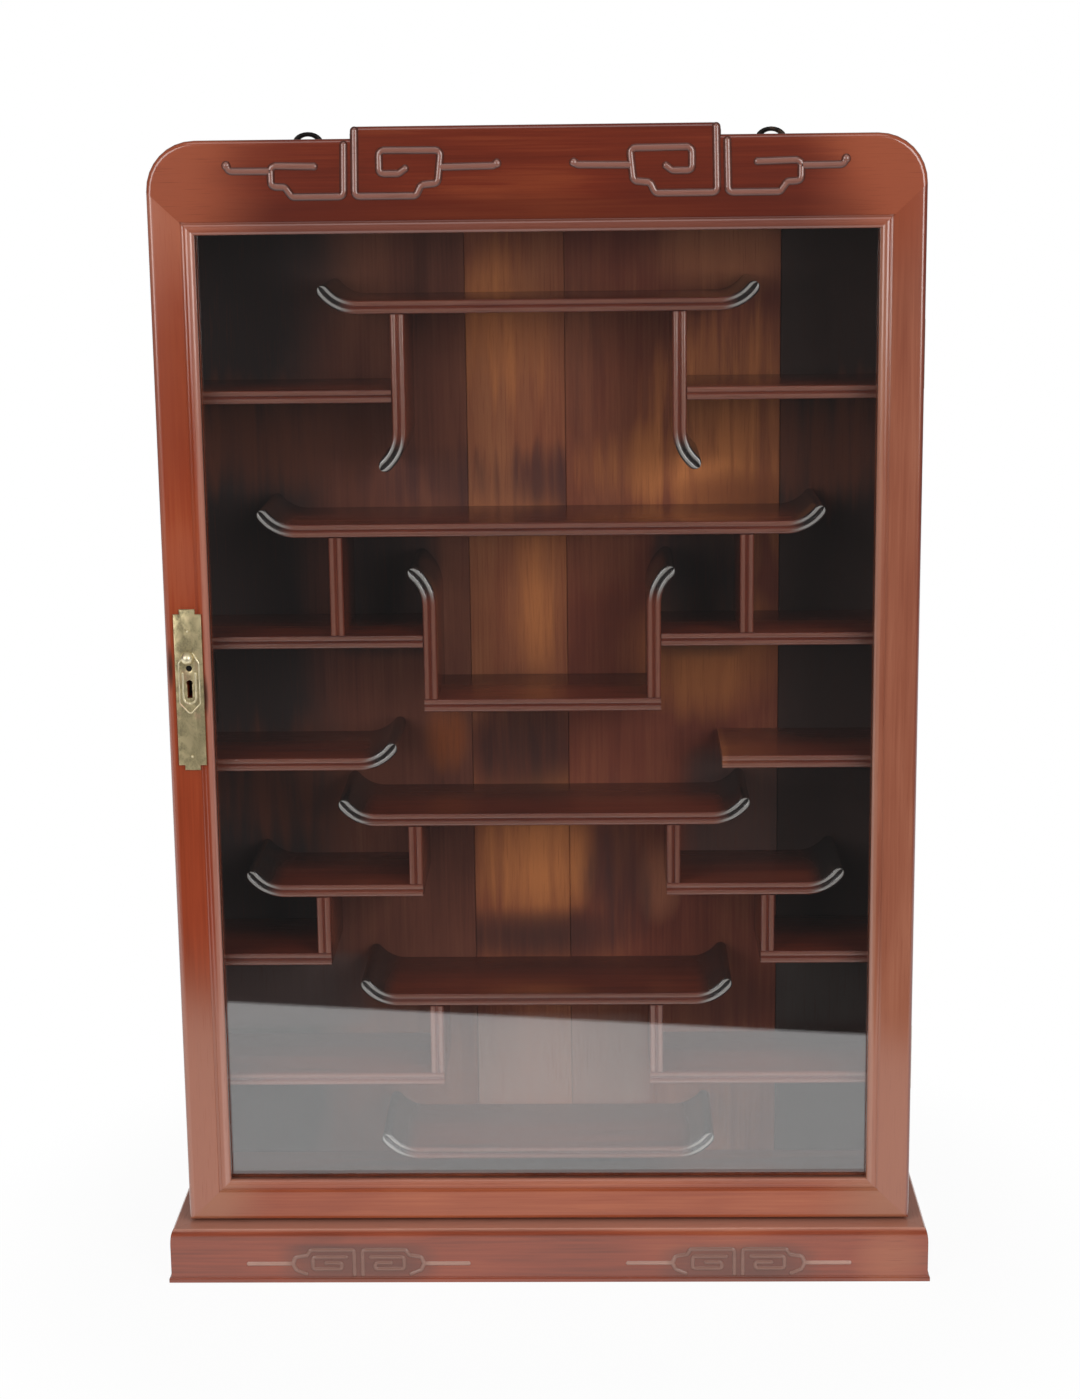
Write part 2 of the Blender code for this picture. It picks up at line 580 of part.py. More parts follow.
def add_lower_rows():
    """Add the bracket shelves and the stepped rows below them."""
    side_shelf("bracket_shelf_left", -SHELF_REACH, -BRACKET_LEFT_END, Z_BRACKET)
    flat_shelf("bracket_shelf_right", BRACKET_RIGHT_END, SHELF_REACH, Z_BRACKET)
    curled_shelf("middle_shelf_centre", past(MIDDLE_BAY), Z_MIDDLE)
    curled_shelf("lower_shelf_centre", past(LOWER_BAY), Z_LOWER)
    curled_shelf("bottom_shelf_centre", BOTTOM_STRAIGHT, Z_BOTTOM)
    for name, side in (("left", -1), ("right", 1)):
        side_shelf("middle_shelf_" + name, side * MIDDLE_BAY, side * past(STEP_BAY), Z_MIDDLE_SIDE)
        divider("middle_divider_" + name, MIDDLE_BAY, side, Z_MIDDLE_SIDE + SHELF_THICKNESS, Z_MIDDLE)
        divider("step_divider_" + name, STEP_BAY, side, Z_STEP + SHELF_THICKNESS, Z_MIDDLE_SIDE)
        flat_shelf("step_shelf_" + name, side * STEP_BAY, side * SHELF_REACH, Z_STEP)
        divider("lower_divider_" + name, LOWER_BAY, side, Z_LOWER_SIDE + SHELF_THICKNESS, Z_LOWER)
        flat_shelf("lower_shelf_" + name, side * LOWER_BAY, side * SHELF_REACH, Z_LOWER_SIDE)
    batten = boxes(((-BATTEN_HALF, Y_SHELF_BACK - BATTEN_DEPTH, Z_FLOOR + FIT),
                    (BATTEN_HALF, Y_SHELF_BACK, Z_BOTTOM - FIT)))
    add_piece("bottom_shelf_batten", batten, "case", PLAIN_WOOD)


def bead_section():
    """Front of the bead along the glass: distance from the glass edge, and depth."""
    half, deep = BEAD_WIDTH / 2, BEAD_SINK + BEAD_HEIGHT
    oval = arc((0.0, 0.0), 1.0, -BEAD_CUT, -math.pi, 7)
    return [(BEAD_WIDTH + QUIRK_WIDTH, 0.0)] + [(half + half * a, deep + BEAD_HEIGHT * b) for a, b in oval]


def frame_profile(width):
    """Section of a door frame bar: distance from its outer edge, and depth."""
    outer = arc((EDGE_RADIUS, EDGE_RADIUS), EDGE_RADIUS, math.pi, 1.5 * math.pi, 3)
    inner = [(width - s, y) for s, y in bead_section()]
    rebate = width - GLASS_LAP
    return ([(0.0, DOOR_THICKNESS)] + outer + inner
            + [(width, LIP_THICKNESS), (rebate, LIP_THICKNESS), (rebate, DOOR_THICKNESS)])


def hinge_gains(y_from, y_to):
    """Cutter for the recesses that hold the hinge leaves."""
    cuts = []
    for z in HINGE_HEIGHTS.values():
        half = HINGE_HEIGHT / 2 + FIT
        cuts.append(((X_HINGE - LEAF_WIDTH - FIT, y_from, z - half),
                     (X_HINGE + KNUCKLE_RADIUS + OVERCUT, y_to, z + half)))
    return boxes(*cuts)


def keyhole_outline(grow):
    """Round eye over a straight leg, made larger all round by grow."""
    radius, leg = KEYHOLE_RADIUS + grow, KEYHOLE_LEG_WIDTH / 2 + grow
    drop = math.asin(leg / radius)
    eye = arc((X_LOCK, Z_KEYHOLE), radius, drop - math.pi / 2, 1.5 * math.pi - drop, 12)
    low = Z_KEYHOLE - KEYHOLE_LEG - grow
    return eye + [(X_LOCK - leg, low), (X_LOCK + leg, low)]


def add_stiles():
    """Add the two upright bars of the door frame."""
    profile = frame_profile(STILE_WIDTH)
    foot = BOTTOM_RAIL_WIDTH / STILE_WIDTH
    head = (Z_GLASS_TOP - Z_CORNER) / STILE_WIDTH
    stiles = {}
    for name, side in (("left", -1), ("right", 1)):
        bar = mitred_bar(profile, lambda u, v, w: Vector((side * (DOOR_HALF - u), Y_DOOR + v, w)),
                         lambda u: Z_DOOR + u * foot + FIT / 2, lambda u: Z_CORNER + u * head - FIT / 2)
        stiles[name] = add_piece("door_stile_" + name, bar, "door", ROSEWOOD, smooth=True)
    carve(stiles["right"], hinge_gains(Y_HINGE - KNUCKLE_RADIUS - FIT, Y_DOOR_BACK + OVERCUT), "door")
    keyhole = prism(keyhole_outline(FIT), in_xz, Y_DOOR - OVERCUT, Y_DOOR_BACK + OVERCUT)
    carve(stiles["left"], keyhole, "door")


def add_rails():
    """Add the bottom rail and the shaped top rail with its crest."""
    slope = STILE_WIDTH / BOTTOM_RAIL_WIDTH
    bottom = mitred_bar(frame_profile(BOTTOM_RAIL_WIDTH), lambda u, v, w: Vector((w, Y_DOOR + v, Z_DOOR + u)),
                        lambda u: u * slope + FIT / 2 - DOOR_HALF, lambda u: DOOR_HALF - u * slope - FIT / 2)
    add_piece("door_bottom_rail", bottom, "door", ROSEWOOD, smooth=True)
    crest = CREST_WIDTH / 2
    corner = arc((DOOR_HALF - CORNER_RADIUS, Z_CORNER + FIT / 2), CORNER_RADIUS, 0.0, math.pi / 2, 8)
    step = [(crest, Z_SHOULDER + FIT / 2)]
    step += arc((crest - CREST_CORNER, Z_CREST - CREST_CORNER), CREST_CORNER, 0.0, math.pi / 2, 4)
    outline = mirrored([(GLASS_HALF, Z_GLASS_TOP + FIT / 2)] + corner + step)
    bm = prism(outline, in_xz, Y_DOOR, Y_DOOR_BACK)
    rim = [e for e in bm.edges if all(abs(v.co.y - Y_DOOR) < SAME for v in e.verts)
           and all(v.co.z > Z_CORNER - SAME for v in e.verts)]
    bmesh.ops.bevel(bm, geom=rim, offset=EDGE_RADIUS, segments=3, profile=0.5, affect="EDGES", material=-1)
    rail = add_piece("door_top_rail", bm, "door", ROSEWOOD, smooth=True)
    carve(rail, top_rail_cutter(), "door")


def top_rail_cutter():
    """Cutter for the bead and the glass rebate along the lower edge of the top rail."""
    front = [(-OVERCUT, -OVERCUT), (BEAD_WIDTH + QUIRK_WIDTH, -OVERCUT)] + bead_section()
    front += [(-OVERCUT, BEAD_SINK + BEAD_HEIGHT)]
    bm = prism(front, lambda a, b, w: Vector((w, Y_DOOR + b, Z_GLASS_TOP + FIT / 2 + a)),
               -DOOR_HALF, DOOR_HALF)
    add_box(bm, (-DOOR_HALF, Y_DOOR + LIP_THICKNESS, Z_GLASS_TOP - OVERCUT),
            (DOOR_HALF, Y_DOOR_BACK + OVERCUT, Z_GLASS_TOP + GLASS_LAP))
    return bm


def add_glazing():
    """Add the pane and the bead that holds it from behind."""
    half = GLASS_HALF + GLASS_LAP - FIT
    low, high = Z_GLASS - GLASS_LAP + FIT, Z_GLASS_TOP + GLASS_LAP - FIT
    y_glass = Y_DOOR + LIP_THICKNESS + FIT
    y_bead = y_glass + GLASS_THICKNESS + FIT
    y_end = Y_DOOR_BACK - GLAZING_SINK
    pane = boxes(((-half, y_glass, low), (half, y_glass + GLASS_THICKNESS, high)))
    add_piece("door_glass", pane, "door", CLEAR_GLASS)
    wide = GLASS_LAP - FIT
    section = [(0.0, y_bead), (wide, y_bead)]
    section += arc((wide - GLAZING_ROUND, y_end - GLAZING_ROUND), GLAZING_ROUND, 0.0, math.pi / 2, 3)
    section += [(0.0, y_end)]
    bm = bmesh.new()
    rings = []
    for sx, z_edge, sz in ((-1, low, 1), (1, low, 1), (1, high, -1), (-1, high, -1)):
        rings.append([bm.verts.new((sx * (half - u), y, z_edge + sz * u)) for u, y in section])
    for ring, after in zip(rings, rings[1:] + rings[:1]):
        for i in range(len(section)):
            j = (i + 1) % len(section)
            bm.faces.new((ring[i], ring[j], after[j], after[i]))
    add_piece("glazing_bead", bm, "door", ROSEWOOD, smooth=True)


def add_lock():
    """Add the plate on the door's face, the lock behind it and its sliding bolt."""
    half, tab = LOCK_PLATE_WIDTH / 2, LOCK_TAB_WIDTH / 2
    end = LOCK_PLATE_HEIGHT / 2
    step = end - LOCK_TAB_HEIGHT
    right_side = [(half, -step), (half, step), (tab, step), (tab, end)]
    outline = [(tab, -end), (tab, -step)] + right_side
    outline = [(X_LOCK + a, Z_LOCK_PLATE + b) for a, b in mirrored(outline)]
    y_back = Y_DOOR - FIT
    plate = add_piece("lock_plate", prism(outline, in_xz, y_back - LOCK_PLATE_THICKNESS, y_back), "door",
                      AGED_BRASS)
    hole = prism(keyhole_outline(0.0), in_xz, y_back - LOCK_PLATE_THICKNESS - OVERCUT, y_back + OVERCUT)
    carve(plate, hole, "door")
    case = boxes(((X_LOCK_CASE, Y_LOCK_CASE, Z_LOCK_CASE - LOCK_CASE_HEIGHT),
                  (X_LOCK_CASE_END, Y_LOCK_CASE + LOCK_CASE_DEPTH, Z_LOCK_CASE)))
    lock = add_piece("lock_case", case, "door", DARK_METAL)
    room_y, room_z = BOLT_DEPTH / 2 + FIT, BOLT_HEIGHT / 2 + FIT
    channel = boxes(((X_LOCK_CASE - OVERCUT, Y_BOLT - room_y, Z_BOLT - room_z),
                     (X_BOLT_END + FIT, Y_BOLT + room_y, Z_BOLT + room_z)))
    carve(lock, channel, "door")
    pocket = prism(keyhole_outline(0.0), in_xz, Y_LOCK_CASE - OVERCUT, Y_LOCK_CASE + KEYHOLE_DEPTH)
    carve(lock, pocket, "door")
    bolt = boxes(((X_LOCK_CASE, Y_BOLT - BOLT_DEPTH / 2, Z_BOLT - BOLT_HEIGHT / 2),
                  (X_BOLT_END, Y_BOLT + BOLT_DEPTH / 2, Z_BOLT + BOLT_HEIGHT / 2)))
    add_piece("lock_bolt", bolt, "lock_bolt", AGED_BRASS)


def leaf_outline(side):
    """Section of a hinge leaf rolled round the pin; side is -1 on the door and 1 on the case."""
    middle = KNUCKLE_BORE + LEAF_THICKNESS / 2
    start = side * math.pi / 2
    wrap = arc((X_HINGE, Y_HINGE), middle, start, start - side * KNUCKLE_WRAP, KNUCKLE_STEPS)
    return strip_outline([(X_HINGE - LEAF_WIDTH, Y_HINGE + side * middle)] + wrap, LEAF_THICKNESS)


def add_hinges():
    """Add two butt hinges: a leaf on the door, a leaf on the case and a pin in each."""
    third = HINGE_HEIGHT / 3
    cap = PIN_HEAD_HEIGHT + FIT
    x_knuckle = X_HINGE - KNUCKLE_RADIUS - FIT
    reach = X_HINGE + KNUCKLE_RADIUS + OVERCUT
    y_low, y_high = Y_HINGE - KNUCKLE_RADIUS - OVERCUT, Y_HINGE + KNUCKLE_RADIUS + OVERCUT
    for name, z in HINGE_HEIGHTS.items():
        low, high = z - HINGE_HEIGHT / 2, z + HINGE_HEIGHT / 2
        door_leaf = add_piece("hinge_" + name + "_door_leaf", prism(leaf_outline(-1), in_xy, low, high),
                              "door", AGED_BRASS, smooth=True)
        ends = boxes(((x_knuckle, y_low, low - OVERCUT), (reach, y_high, low + third + FIT / 2)),
                     ((x_knuckle, y_low, high - third - FIT / 2), (reach, y_high, high + OVERCUT)))
        carve(door_leaf, ends, "door")
        case_leaf = add_piece("hinge_" + name + "_case_leaf", prism(leaf_outline(1), in_xy, low, high),
                              "case", AGED_BRASS, smooth=True)
        gaps = boxes(((x_knuckle, y_low, low - OVERCUT), (reach, y_high, low + cap)),
                     ((x_knuckle, y_low, low + third - FIT / 2), (reach, y_high, high - third + FIT / 2)),
                     ((x_knuckle, y_low, high - cap), (reach, y_high, high + OVERCUT)))
        carve(case_leaf, gaps, "case")
        add_piece("hinge_" + name + "_pin", pin_mesh(low + cap, high - cap), "case", AGED_BRASS, smooth=True)


def pin_mesh(low, high):
    """Turn a hinge pin with a small head past each end of its knuckles."""
    foot, head = low - FIT, high + FIT
    profile = [(0.0, head + PIN_HEAD_HEIGHT), (PIN_HEAD_RADIUS, head + PIN_HEAD_HEIGHT / 2), (PIN_HEAD_RADIUS, head),
               (PIN_RADIUS, head), (PIN_RADIUS, foot), (PIN_HEAD_RADIUS, foot),
               (PIN_HEAD_RADIUS, foot - PIN_HEAD_HEIGHT / 2), (0.0, foot - PIN_HEAD_HEIGHT)]
    bm = bmesh.new()
    verts = [bm.verts.new((X_HINGE + r, Y_HINGE, z)) for r, z in profile]
    edges = [bm.edges.new(pair) for pair in zip(verts, verts[1:])]
    bmesh.ops.spin(bm, geom=verts + edges, cent=(X_HINGE, Y_HINGE, 0.0), axis=(0.0, 0.0, 1.0),
                   angle=2 * math.pi, steps=12, use_merge=True)
    bmesh.ops.remove_doubles(bm, verts=bm.verts, dist=SAME)
    return bm


def add_hanging_eyes():
    """Add the two eyes that the cabinet hangs from, each on a plate behind the top."""
    for name, side in (("left", -1), ("right", 1)):
        x = side * X_EYE
        y_front = Y_BOARD_BACK + FIT
        plate_top = Z_CASE_TOP + EYE_RISE - EYE_RING_RADIUS + EYE_WIRE_RADIUS
        plate = boxes(((x - EYE_PLATE_WIDTH / 2, y_front, plate_top - EYE_PLATE_HEIGHT),
                       (x + EYE_PLATE_WIDTH / 2, y_front + EYE_PLATE_THICKNESS, plate_top)))
        eye = add_piece("hanging_eye_" + name, plate, "case", DARK_METAL, smooth=True)
        carve(eye, ring_mesh(x, y_front + EYE_WIRE_RADIUS, Z_CASE_TOP + EYE_RISE), "case", "UNION")


def ring_mesh(x, y, z):
    """Spin a round wire into a ring that stands in the plane of the wall."""
    bm = bmesh.new()
    wire = arc((EYE_RING_RADIUS, 0.0), EYE_WIRE_RADIUS, 0.0, 2 * math.pi, WIRE_STEPS)[:-1]
    verts = [bm.verts.new((x + a, y + b, z)) for a, b in wire]
    edges = [bm.edges.new(pair) for pair in zip(verts, verts[1:] + verts[:1])]
    bmesh.ops.spin(bm, geom=verts + edges, cent=(x, y, z), axis=(0.0, 1.0, 0.0),
                   angle=2 * math.pi, steps=EYE_STEPS, use_merge=True)
    bmesh.ops.remove_doubles(bm, verts=bm.verts, dist=SAME)
    return bm


def main():
    """Build the whole cabinet."""
    clear_scene()
    add_pivots()
    add_case()
    add_base()
    add_upper_rows()
    add_lower_rows()
    add_stiles()
    add_rails()
    add_glazing()
    add_lock()
    add_hinges()
    add_hanging_eyes()


main()
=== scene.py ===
"""Looks of a wall display cabinet in polished rosewood.

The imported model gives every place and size. This script dresses it: beaded shelves with curled
ends, carved scrolls on the crest and the base, an old brass lock plate, the glass, and the finish
of every surface, in a plain studio.
"""
import logging
import math
from dataclasses import dataclass, field, replace
from enum import Enum, IntEnum
from typing import Any, Mapping, Optional, Sequence, Union

import bmesh
import bpy
from mathutils import Matrix, Vector


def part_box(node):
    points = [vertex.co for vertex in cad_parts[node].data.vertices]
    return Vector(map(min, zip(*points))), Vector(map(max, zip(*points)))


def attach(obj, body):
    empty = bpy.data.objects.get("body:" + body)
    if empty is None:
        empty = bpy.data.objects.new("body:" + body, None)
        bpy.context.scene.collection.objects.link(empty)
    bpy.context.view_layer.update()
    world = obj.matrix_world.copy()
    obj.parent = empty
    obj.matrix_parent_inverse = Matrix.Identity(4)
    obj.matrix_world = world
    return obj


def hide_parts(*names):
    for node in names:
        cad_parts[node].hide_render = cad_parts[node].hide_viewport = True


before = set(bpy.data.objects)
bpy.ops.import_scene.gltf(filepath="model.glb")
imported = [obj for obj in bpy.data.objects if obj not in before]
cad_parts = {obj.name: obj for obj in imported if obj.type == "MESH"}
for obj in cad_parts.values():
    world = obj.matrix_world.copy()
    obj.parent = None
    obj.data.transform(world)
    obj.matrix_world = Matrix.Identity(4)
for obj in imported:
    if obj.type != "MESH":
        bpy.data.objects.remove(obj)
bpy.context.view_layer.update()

LOG = logging.getLogger("cabinet")
SAME = 1e-6                         # metres within which two places are one
SHARP = math.radians(38)            # edges that turn further than this stay crisp
CURL_MARK = "curl"                  # mesh attribute: 0 on straight wood, rising to about 1 at a curled tip
NOISE_MEAN = 0.5
SEED_SHIFT = (0.37, 0.71, 1.13)     # metres that a pattern moves for each seed
PATCH_GONE, PATCH_FULL = 1.6, -0.5  # squared distance, in halves of a patch, where it ends and where it is full
WHITE = (1.0, 1.0, 1.0, 1.0)
X_AXIS = Vector((1.0, 0.0, 0.0))
Y_AXIS = Vector((0.0, 1.0, 0.0))
Z_AXIS = Vector((0.0, 0.0, 1.0))

Triple = tuple[float, float, float]
Color = Triple
Point = tuple[float, float]
Line = tuple[Point, ...]            # corners of a line in X and Z
Stops = Sequence[tuple[float, Color]]
Key = Union[int, str]


class Body(Enum):
    """Rigid groups of the cabinet that pieces ride on."""

    CASE = "case"
    DOOR = "door"
    BOLT = "lock_bolt"


class Slot(Enum):
    """Material slots of the record."""

    FRAME = "rosewood"
    SHELF = "shelf_wood"
    BACK = "back_wood"
    PLAIN = "plain_wood"
    BRASS = "aged_brass"
    IRON = "dark_metal"


class Grain(Enum):
    """Direction that the fibres of a board run in."""

    ACROSS = (1, 0, 0)
    DEEP = (0, 1, 0)
    UPRIGHT = (0, 0, 1)

    def stretch(self, along: float) -> Triple:
        """Scale of a pattern that is drawn out along the fibres."""
        return tuple(along if part else 1.0 for part in self.value)


class Axis(Enum):
    """Directions of the cabinet's own frame."""

    X = "X"
    Y = "Y"
    Z = "Z"


class Ray(Enum):
    """Kinds of light path, by the output that tells them."""

    CAMERA = "Is Camera Ray"
    GLOSSY = "Is Glossy Ray"
    THROUGH = "Is Transmission Ray"


class Seed(IntEnum):
    """Numbers that set the figure of each piece; shelves and boards count on from theirs."""

    SHELVES = 1
    BOARDS = 101
    CARVING = 201
    PLATE = 301
    RELIEF = 302
    HOLE_SHADE = 303


class Signal:
    """An output socket that takes part in Python arithmetic."""

    def __init__(self, graph: "Graph", socket: Optional[bpy.types.NodeSocket]) -> None:
        """Keep the socket and the graph that its maths nodes go into."""
        self.graph = graph
        self.socket = socket

    def _math(self, operation: str, left: "Value", right: "Value") -> "Signal":
        """Add a Math node on two values."""
        return self.graph.node("ShaderNodeMath", {"operation": operation}, {0: left, 1: right})

    def __add__(self, other: "Value") -> "Signal":
        """This value plus another."""
        return self._math("ADD", self, other)

    def __sub__(self, other: "Value") -> "Signal":
        """This value less another."""
        return self._math("SUBTRACT", self, other)

    def __rsub__(self, other: "Value") -> "Signal":
        """Another value less this one."""
        return self._math("SUBTRACT", other, self)

    def __mul__(self, other: "Value") -> "Signal":
        """This value times another."""
        return self._math("MULTIPLY", self, other)

    def __truediv__(self, other: "Value") -> "Signal":
        """This value over another."""
        return self._math("DIVIDE", self, other)

    def __rtruediv__(self, other: "Value") -> "Signal":
        """Another value over this one."""
        return self._math("DIVIDE", other, self)

    def __pow__(self, other: "Value") -> "Signal":
        """This value to a power."""
        return self._math("POWER", self, other)

    __radd__ = __add__
    __rmul__ = __mul__

    def over(self, other: "Value") -> "Signal":
        """The larger of two values."""
        return self._math("MAXIMUM", self, other)


Value = Union[Signal, float]


class Graph:
    """A node tree that is filled by expressions."""

    def __init__(self, tree: bpy.types.NodeTree) -> None:
        """Empty a tree and keep it."""
        self.tree = tree
        tree.nodes.clear()

    def node(self, kind: str, settings: Optional[Mapping[str, Any]] = None,
             sockets: Optional[Mapping[Key, Any]] = None, output: Key = 0) -> Signal:
        """Add one node of any kind.

        Args:
            kind: The node's type.
            settings: Properties that are set first; "stops" holds a ramp's places and colours.
            sockets: Values or signals by the name or number of the input.
            output: The output that the signal stands for.

        Returns:
            The chosen output, or a signal with no socket where the node has none.
        """
        node = self.tree.nodes.new(kind)
        for name, value in (settings or {}).items():
            if name == "stops":
                self._set_stops(node.color_ramp, value)
            else:
                setattr(node, name, value)
        for name, value in (sockets or {}).items():
            if isinstance(value, Signal):
                self.tree.links.new(value.socket, node.inputs[name])
            else:
                node.inputs[name].default_value = value
        return Signal(self, node.outputs[output] if node.outputs else None)

    @staticmethod
    def _set_stops(ramp: bpy.types.ColorRamp, stops: Stops) -> None:
        """Give a colour ramp its stops.

        Args:
            ramp: The ramp.
            stops: Places and colours, in rising order.
        """
        while len(ramp.elements) < len(stops):
            ramp.elements.new(1.0)
        for element, (place, color) in zip(ramp.elements, stops):
            element.position = place
            element.color = (*color, 1.0)

    def place(self) -> Signal:
        """Object coordinates, in metres."""
        return self.node("ShaderNodeTexCoord", output="Object")

    def axis(self, axis: Axis) -> Signal:
        """One of the object coordinates."""
        return self.node("ShaderNodeSeparateXYZ", sockets={0: self.place()}, output=axis.value)

    def ray(self, kind: Ray) -> Signal:
        """1 for light paths of one kind, else 0."""
        return self.node("ShaderNodeLightPath", output=kind.value)

    def fibres(self, grain: Grain, along: float, seed: int) -> Signal:
        """Object coordinates drawn out along the fibres of one board.

        Args:
            grain: Direction of the fibres.
            along: Scale along them, against 1 across.
            seed: Number of the board, so that no two boards match.

        Returns:
            The coordinates.
        """
        shift = tuple(part * seed for part in SEED_SHIFT)
        return self.node("ShaderNodeMapping", sockets={
            "Vector": self.place(), "Location": shift, "Scale": grain.stretch(along)})

    def noise(self, at: Signal, scale: float, detail: float = 2.0, bend: float = 0.0) -> Signal:
        """Smooth noise between 0 and 1."""
        return self.node("ShaderNodeTexNoise", sockets={
            "Vector": at, "Scale": scale, "Detail": detail, "Distortion": bend}, output="Fac")

    def layer(self, layer: "Layer", grain: Grain, seed: int) -> Signal:
        """Noise of one layer of a finish, between 0 and 1."""
        at = self.fibres(grain, layer.stretch, seed + layer.shift)
        return self.noise(at, layer.scale, layer.detail, layer.bend)

    def step(self, value: Signal, low: float, high: float) -> Signal:
        """Rise smoothly from 0 to 1 between two values."""
        return self.node("ShaderNodeMapRange", {"interpolation_type": "SMOOTHSTEP"}, {
            "Value": value, "From Min": low, "From Max": high})

    def ramp(self, value: Signal, stops: Stops) -> Signal:
        """Colour by value."""
        return self.node("ShaderNodeValToRGB", {"stops": stops}, {"Fac": value}, "Color")

    def mix(self, share: Value, first: Union[Signal, Color], second: Union[Signal, Color]) -> Signal:
        """Blend two colours; share 1 gives the second."""
        first, second = (c if isinstance(c, Signal) else (*c, 1.0) for c in (first, second))
        return self.node("ShaderNodeMix", {"data_type": "RGBA"}, {0: share, 6: first, 7: second}, 2)

    def fade(self, color: Signal, fade: "Fade", patches: Signal, kept: Value = 1.0) -> Signal:
        """Blend a colour into that of a fade.

        Args:
            color: The colour before.
            fade: The fade.
            patches: Noise that moves its edge.
            kept: Part of its share that counts.

        Returns:
            The colour after.
        """
        far = self.axis(fade.axis)
        if fade.axis is Axis.X:
            far = self.node("ShaderNodeMath", {"operation": "ABSOLUTE"}, {0: far})
        share = self.step(far + (patches - NOISE_MEAN) * fade.drift, fade.start, fade.end)
        return self.mix(share * fade.share * kept, color, fade.color)

    def stain_and_shade(self, color: Signal, stain_and_shade: "StainAndShade", wander: Signal, kept: Value) -> Signal:
        """Blend a colour into that of a soft patch of stained wood or of painted shade.

        Args:
            color: The colour before.
            stain_and_shade: The patch.
            wander: Noise around 0 that moves its edge.
            kept: Part of its share that counts.

        Returns:
            The colour after.
        """
        across = (self.axis(Axis.X) - stain_and_shade.middle[0]) / stain_and_shade.half[0]
        up = (self.axis(Axis.Z) - stain_and_shade.middle[1]) / stain_and_shade.half[1]
        far = (across * across) ** stain_and_shade.squareness + (up * up) ** stain_and_shade.squareness
        share = self.step(far + wander * stain_and_shade.drift, PATCH_GONE, PATCH_FULL)
        return self.mix(share * kept * stain_and_shade.share, color, stain_and_shade.color)

    def bump(self, height: Signal, depth: float, strength: float) -> Signal:
        """Normals of a surface with small relief, its depth in metres."""
        return self.node("ShaderNodeBump", sockets={
            "Height": height, "Distance": depth, "Strength": strength}, output="Normal")

    def surface(self, shader: Signal) -> None:
        """Show a shader as the tree's surface."""
        self.node("ShaderNodeOutputMaterial", sockets={"Surface": shader})

    def principled(self, sockets: Mapping[Key, Any]) -> None:
        """Show a Principled shader as the tree's surface."""
        self.surface(self.node("ShaderNodeBsdfPrincipled", sockets=sockets))


def new_graph(name: str) -> tuple[bpy.types.Material, Graph]:
    """Make a material with an empty node tree.

    Args:
        name: Name of the material.

    Returns:
        The material and the graph of its tree.
    """
    material = bpy.data.materials.new(name)
    material.use_nodes = True
    return material, Graph(material.node_tree)


@dataclass(frozen=True)
class Layer:
    """One layer of noise in a finish."""

    stretch: float                      # scale along the fibres, against 1 across them
    scale: float                        # patches in a metre across the fibres
    detail: float = 2.0
    bend: float = 0.0
    shift: int = 0                      # added to the seed


@dataclass(frozen=True)
class Fade:
    """A change to another colour along one axis, between two places."""

    axis: Axis                          # X stands for the distance from the middle
    start: float
    end: float
    color: Color
    share: float = 0.85
    drift: float = 0.08                 # how far patches in the wood move its edge


@dataclass(frozen=True)
class StainAndShade:
    """A soft patch of another colour on a board, with its place in X and Z; some are stained wood, some painted
    shade.
    """

    middle: Point
    half: Point
    color: Color
    share: float = 0.9
    drift: float = 2.4                  # how far the figure of the wood moves its edge
    squareness: float = 1.0             # 1 for an oval, more towards a rectangle


def both_sides(stain_and_shade: StainAndShade) -> tuple[StainAndShade, StainAndShade]:
    """A patch left of the middle and its twin on the right."""
    return stain_and_shade, replace(stain_and_shade, middle=(-stain_and_shade.middle[0], stain_and_shade.middle[1]))


